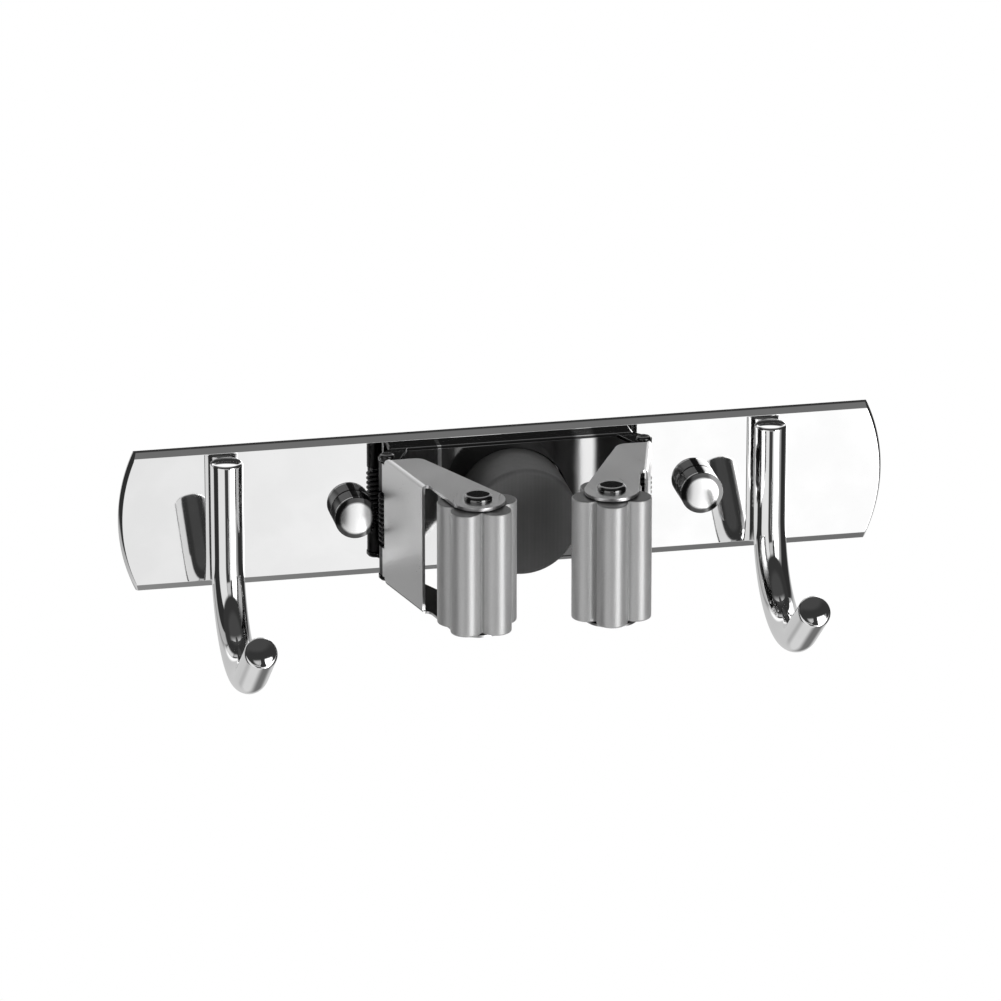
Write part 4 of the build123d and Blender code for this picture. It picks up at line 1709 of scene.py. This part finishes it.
@dataclass
class Buffer:
    """The rubber drum in the middle, with what carries and springs it."""

    radius: float = 17.9
    front: float = 25.0
    rear: float = 3.8
    edge: float = 1.8
    coil_radius: float = 5.6
    wire: float = 0.6
    turns: int = 5
    coil_start: float = 1.65
    coil_end: float = 11.95

    def drum(self) -> bpy.types.Object:
        """The drum, with a slightly crowned face and a rolled edge."""
        corner = arc((self.radius - self.edge, self.front - self.edge - 0.15), self.edge, 0.0, pi / 2 - 0.06, 12)
        face = [(14.0, self.front - 0.1), (12.0, self.front - 0.05), (8.0, self.front), (0.02, self.front)]
        inside = [(0.02, 21.5), (13.0, 21.5), (13.0, 14.1), (15.6, 14.1), (15.6, 12.6), (15.0, 12.6), (15.0, self.rear + 0.3), (15.3, self.rear)]
        profile = [(self.radius - 0.3, self.rear), (self.radius, self.rear + 0.3), (self.radius, 12.0), *corner, *face, *inside]
        return turned("buffer_cup", profile, facing(CLIP_MIDDLE, 0.0), 128, closed=True)

    def spring(self) -> bpy.types.Object:
        """The coil behind the drum."""
        steps = self.turns * 40
        place = facing(CLIP_MIDDLE, 0.0)
        path = [
            place(
                self.coil_radius * cos(2 * pi * self.turns * step / steps),
                self.coil_radius * sin(2 * pi * self.turns * step / steps),
                self.coil_start + (self.coil_end - self.coil_start) * step / steps,
            )
            for step in range(steps + 1)
        ]
        return pipe("buffer_coil", path, [self.wire] * len(path), 14)

    def build(self, finisher: Finisher) -> None:
        """Builds the drum and its spring, and finishes the steel inside it."""
        finisher.dress(smooth(self.drum(), 40.0), Finish.BUFFER, "buffer", "buffer_drum")
        spring = smooth(self.spring(), 60.0)
        spring.data.materials.append(finisher.material(Finish.SPRING))
        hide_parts("buffer_spring")
        place = facing(CLIP_MIDDLE, 0.0)
        low, high = place(0.0, 0.0, self.coil_start) * MM, place(0.0, 0.0, self.coil_end) * MM
        tuple(low)
        tuple(high)
        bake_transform(spring)
        finisher.repaint(Finish.CARRIER, "buffer_carrier", "buffer_post")


@dataclass
class Studio:
    """The pale floor, the soft surroundings and the camera."""

    aim: Vector = field(default_factory=lambda: Vector((-0.00114, -0.0025, -0.00137)))
    azimuth: float = -11.45
    elevation: float = 20.86
    distance: float = 2.5
    lens: float = 279.94
    floor_height: float = -0.35
    floor_half: float = 4.0
    key: float = 2.8
    strength: float = 1.0

    def camera(self) -> None:
        """Puts the camera at the photograph's viewing angle."""
        turn, tilt = radians(self.azimuth), radians(self.elevation)
        back = Vector((sin(turn) * cos(tilt), -cos(turn) * cos(tilt), sin(tilt)))
        data = bpy.data.cameras.new("camera")
        data.lens = self.lens
        data.sensor_width = 36.0
        data.clip_start, data.clip_end = 0.1, 40.0
        camera = bpy.data.objects.new("camera", data)
        camera.location = self.aim + back * self.distance
        camera.rotation_mode = "QUATERNION"
        camera.rotation_quaternion = (-back).to_track_quat("-Z", "Y")
        bpy.context.collection.objects.link(camera)
        bpy.context.scene.camera = camera

    def floor(self) -> None:
        """Lays the pale floor well below the rack."""
        half = self.floor_half
        corners = [
            Vector((across * half, along * half, self.floor_height)) / MM
            for across, along in ((-1, -1), (1, -1), (1, 1), (-1, 1))
        ]
        floor = solid("studio_floor", corners, [[0, 1, 2, 3]])
        material, paint = new_paint("studio floor")
        cloud = paint.cloud(paint.coordinates(), 4.0, 2.0)
        colour = paint.tint(cloud, grey(0.80), grey(0.84))
        pale = paint.node("ShaderNodeBsdfDiffuse", None, {"Color": colour})
        white = paint.node("ShaderNodeEmission", None, {"Color": (1, 1, 1, 1), "Strength": 1.0})
        seen = paint.node("ShaderNodeLightPath").outputs["Is Camera Ray"]
        mixed = paint.node("ShaderNodeMixShader", None, {0: seen, 1: pale.outputs[0], 2: white.outputs[0]})
        paint.node("ShaderNodeOutputMaterial", None, {"Surface": mixed.outputs[0]})
        floor.data.materials.append(material)
        floor.visible_glossy = False

    def world(self) -> None:
        """Surrounds the rack with soft panels and dark gaps, which the bright steel shows as stripes."""
        world = bpy.data.worlds.new("studio")
        world.use_nodes = True
        paint = Paint(world.node_tree)
        direction = paint.node("ShaderNodeTexCoord").outputs["Generated"]
        parts = paint.node("ShaderNodeSeparateXYZ", None, {0: direction})
        x, y, z = (Amount(paint, parts.outputs[index]) for index in range(3))
        azimuth = paint.amount("ShaderNodeMath", {"operation": "ARCTAN2"}, {0: x, 1: -y}) * degrees(1.0)
        tilt = paint.amount("ShaderNodeMath", {"operation": "ARCSINE"}, {0: z}) * degrees(1.0)
        key = 0.86 + azimuth.step(7.5, 13.5) * 0.26 + azimuth.step(17.0, 22.0) * self.key
        panels = (
            azimuth.band(-130.0, -112.0, 2.0) * 0.5
            + azimuth.band(-112.0, -70.0, 2.0) * 0.03
            + azimuth.band(-70.0, -22.0, 3.0) * 0.88
            + azimuth.band(-20.0, 1.0, 2.0) * (0.60 - tilt.band(-27.0, 10.0, 2.0) * 0.55)
            + azimuth.band(2.0, 46.0, 2.0) * key
            + azimuth.band(46.0, 72.0, 2.0) * (1.0 - azimuth.step(44.0, 78.0)) * 0.7
            + azimuth.band(72.0, 136.0, 4.0) * 0.03
        )
        behind = y.step(0.55, 0.80)
        turn = paint.amount("ShaderNodeMath", {"operation": "ARCTAN2"}, {0: x, 1: y}) * degrees(1.0)
        card = turn.band(3.0, 20.0, 1.5) * tilt.band(12.5, 29.0, 1.5)
        backdrop = (0.62 + tilt.step(6.0, 14.0) * 0.60) * (1.0 - card * 0.97)
        strip = azimuth.band(4.0, 18.5, 0.8) * tilt.step(5.0, 8.0)
        lifted = strip + (1.0 - strip) * tilt.step(26.0, 34.0)
        front = panels * (1.0 - lifted) + lifted * (0.17 - tilt.step(14.0, 17.0) * 0.13)
        level = front * (1.0 - behind) + backdrop * behind
        above = tilt.step(50.0, 66.0)
        below = 1.0 - tilt.step(-50.0, -34.0)
        under = 0.74 - x.step(-0.05, 0.20) * 0.56
        sky = 0.07 + y.step(0.18, 0.45) * 0.55
        level = level * (1.0 - above) * (1.0 - below) + above * sky + below * under
        camera = paint.amount("ShaderNodeLightPath", None, None, "Is Camera Ray")
        shown = camera + (1.0 - camera) * level * self.strength
        light = paint.node("ShaderNodeBackground", None, {"Color": (1, 1, 1, 1), "Strength": shown})
        paint.node("ShaderNodeOutputWorld", None, {"Surface": light.outputs[0]})
        bpy.context.scene.world = world

    def build(self) -> None:
        """Builds the studio."""
        self.camera()
        self.floor()
        self.world()
        bpy.context.scene.view_settings.view_transform = "Standard"
        LOG.info("studio ready")


def main() -> None:
    """Builds the looks of the rack round its frame."""
    logging.basicConfig(level=logging.INFO, format="%(name)s %(message)s")
    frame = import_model()
    Studio().build()
    finisher = Finisher(frame["nodes"])
    BackPlate().build(finisher)
    for side, x in ((Side.LEFT, -91.0), (Side.RIGHT, 86.5)):
        Hook(side, x).build(finisher)
    for side, x in ((Side.LEFT, -49.6), (Side.RIGHT, 63.6)):
        CappedScrew(side, x).build(finisher)
    ClipBase().build(finisher)
    for side, turn in ((Side.LEFT, -57.0), (Side.RIGHT, -100.0)):
        Arm(side).build(finisher)
        Roller(side, turn).build(finisher)
    Buffer().build(finisher)


if __name__ == "__main__":
    main()
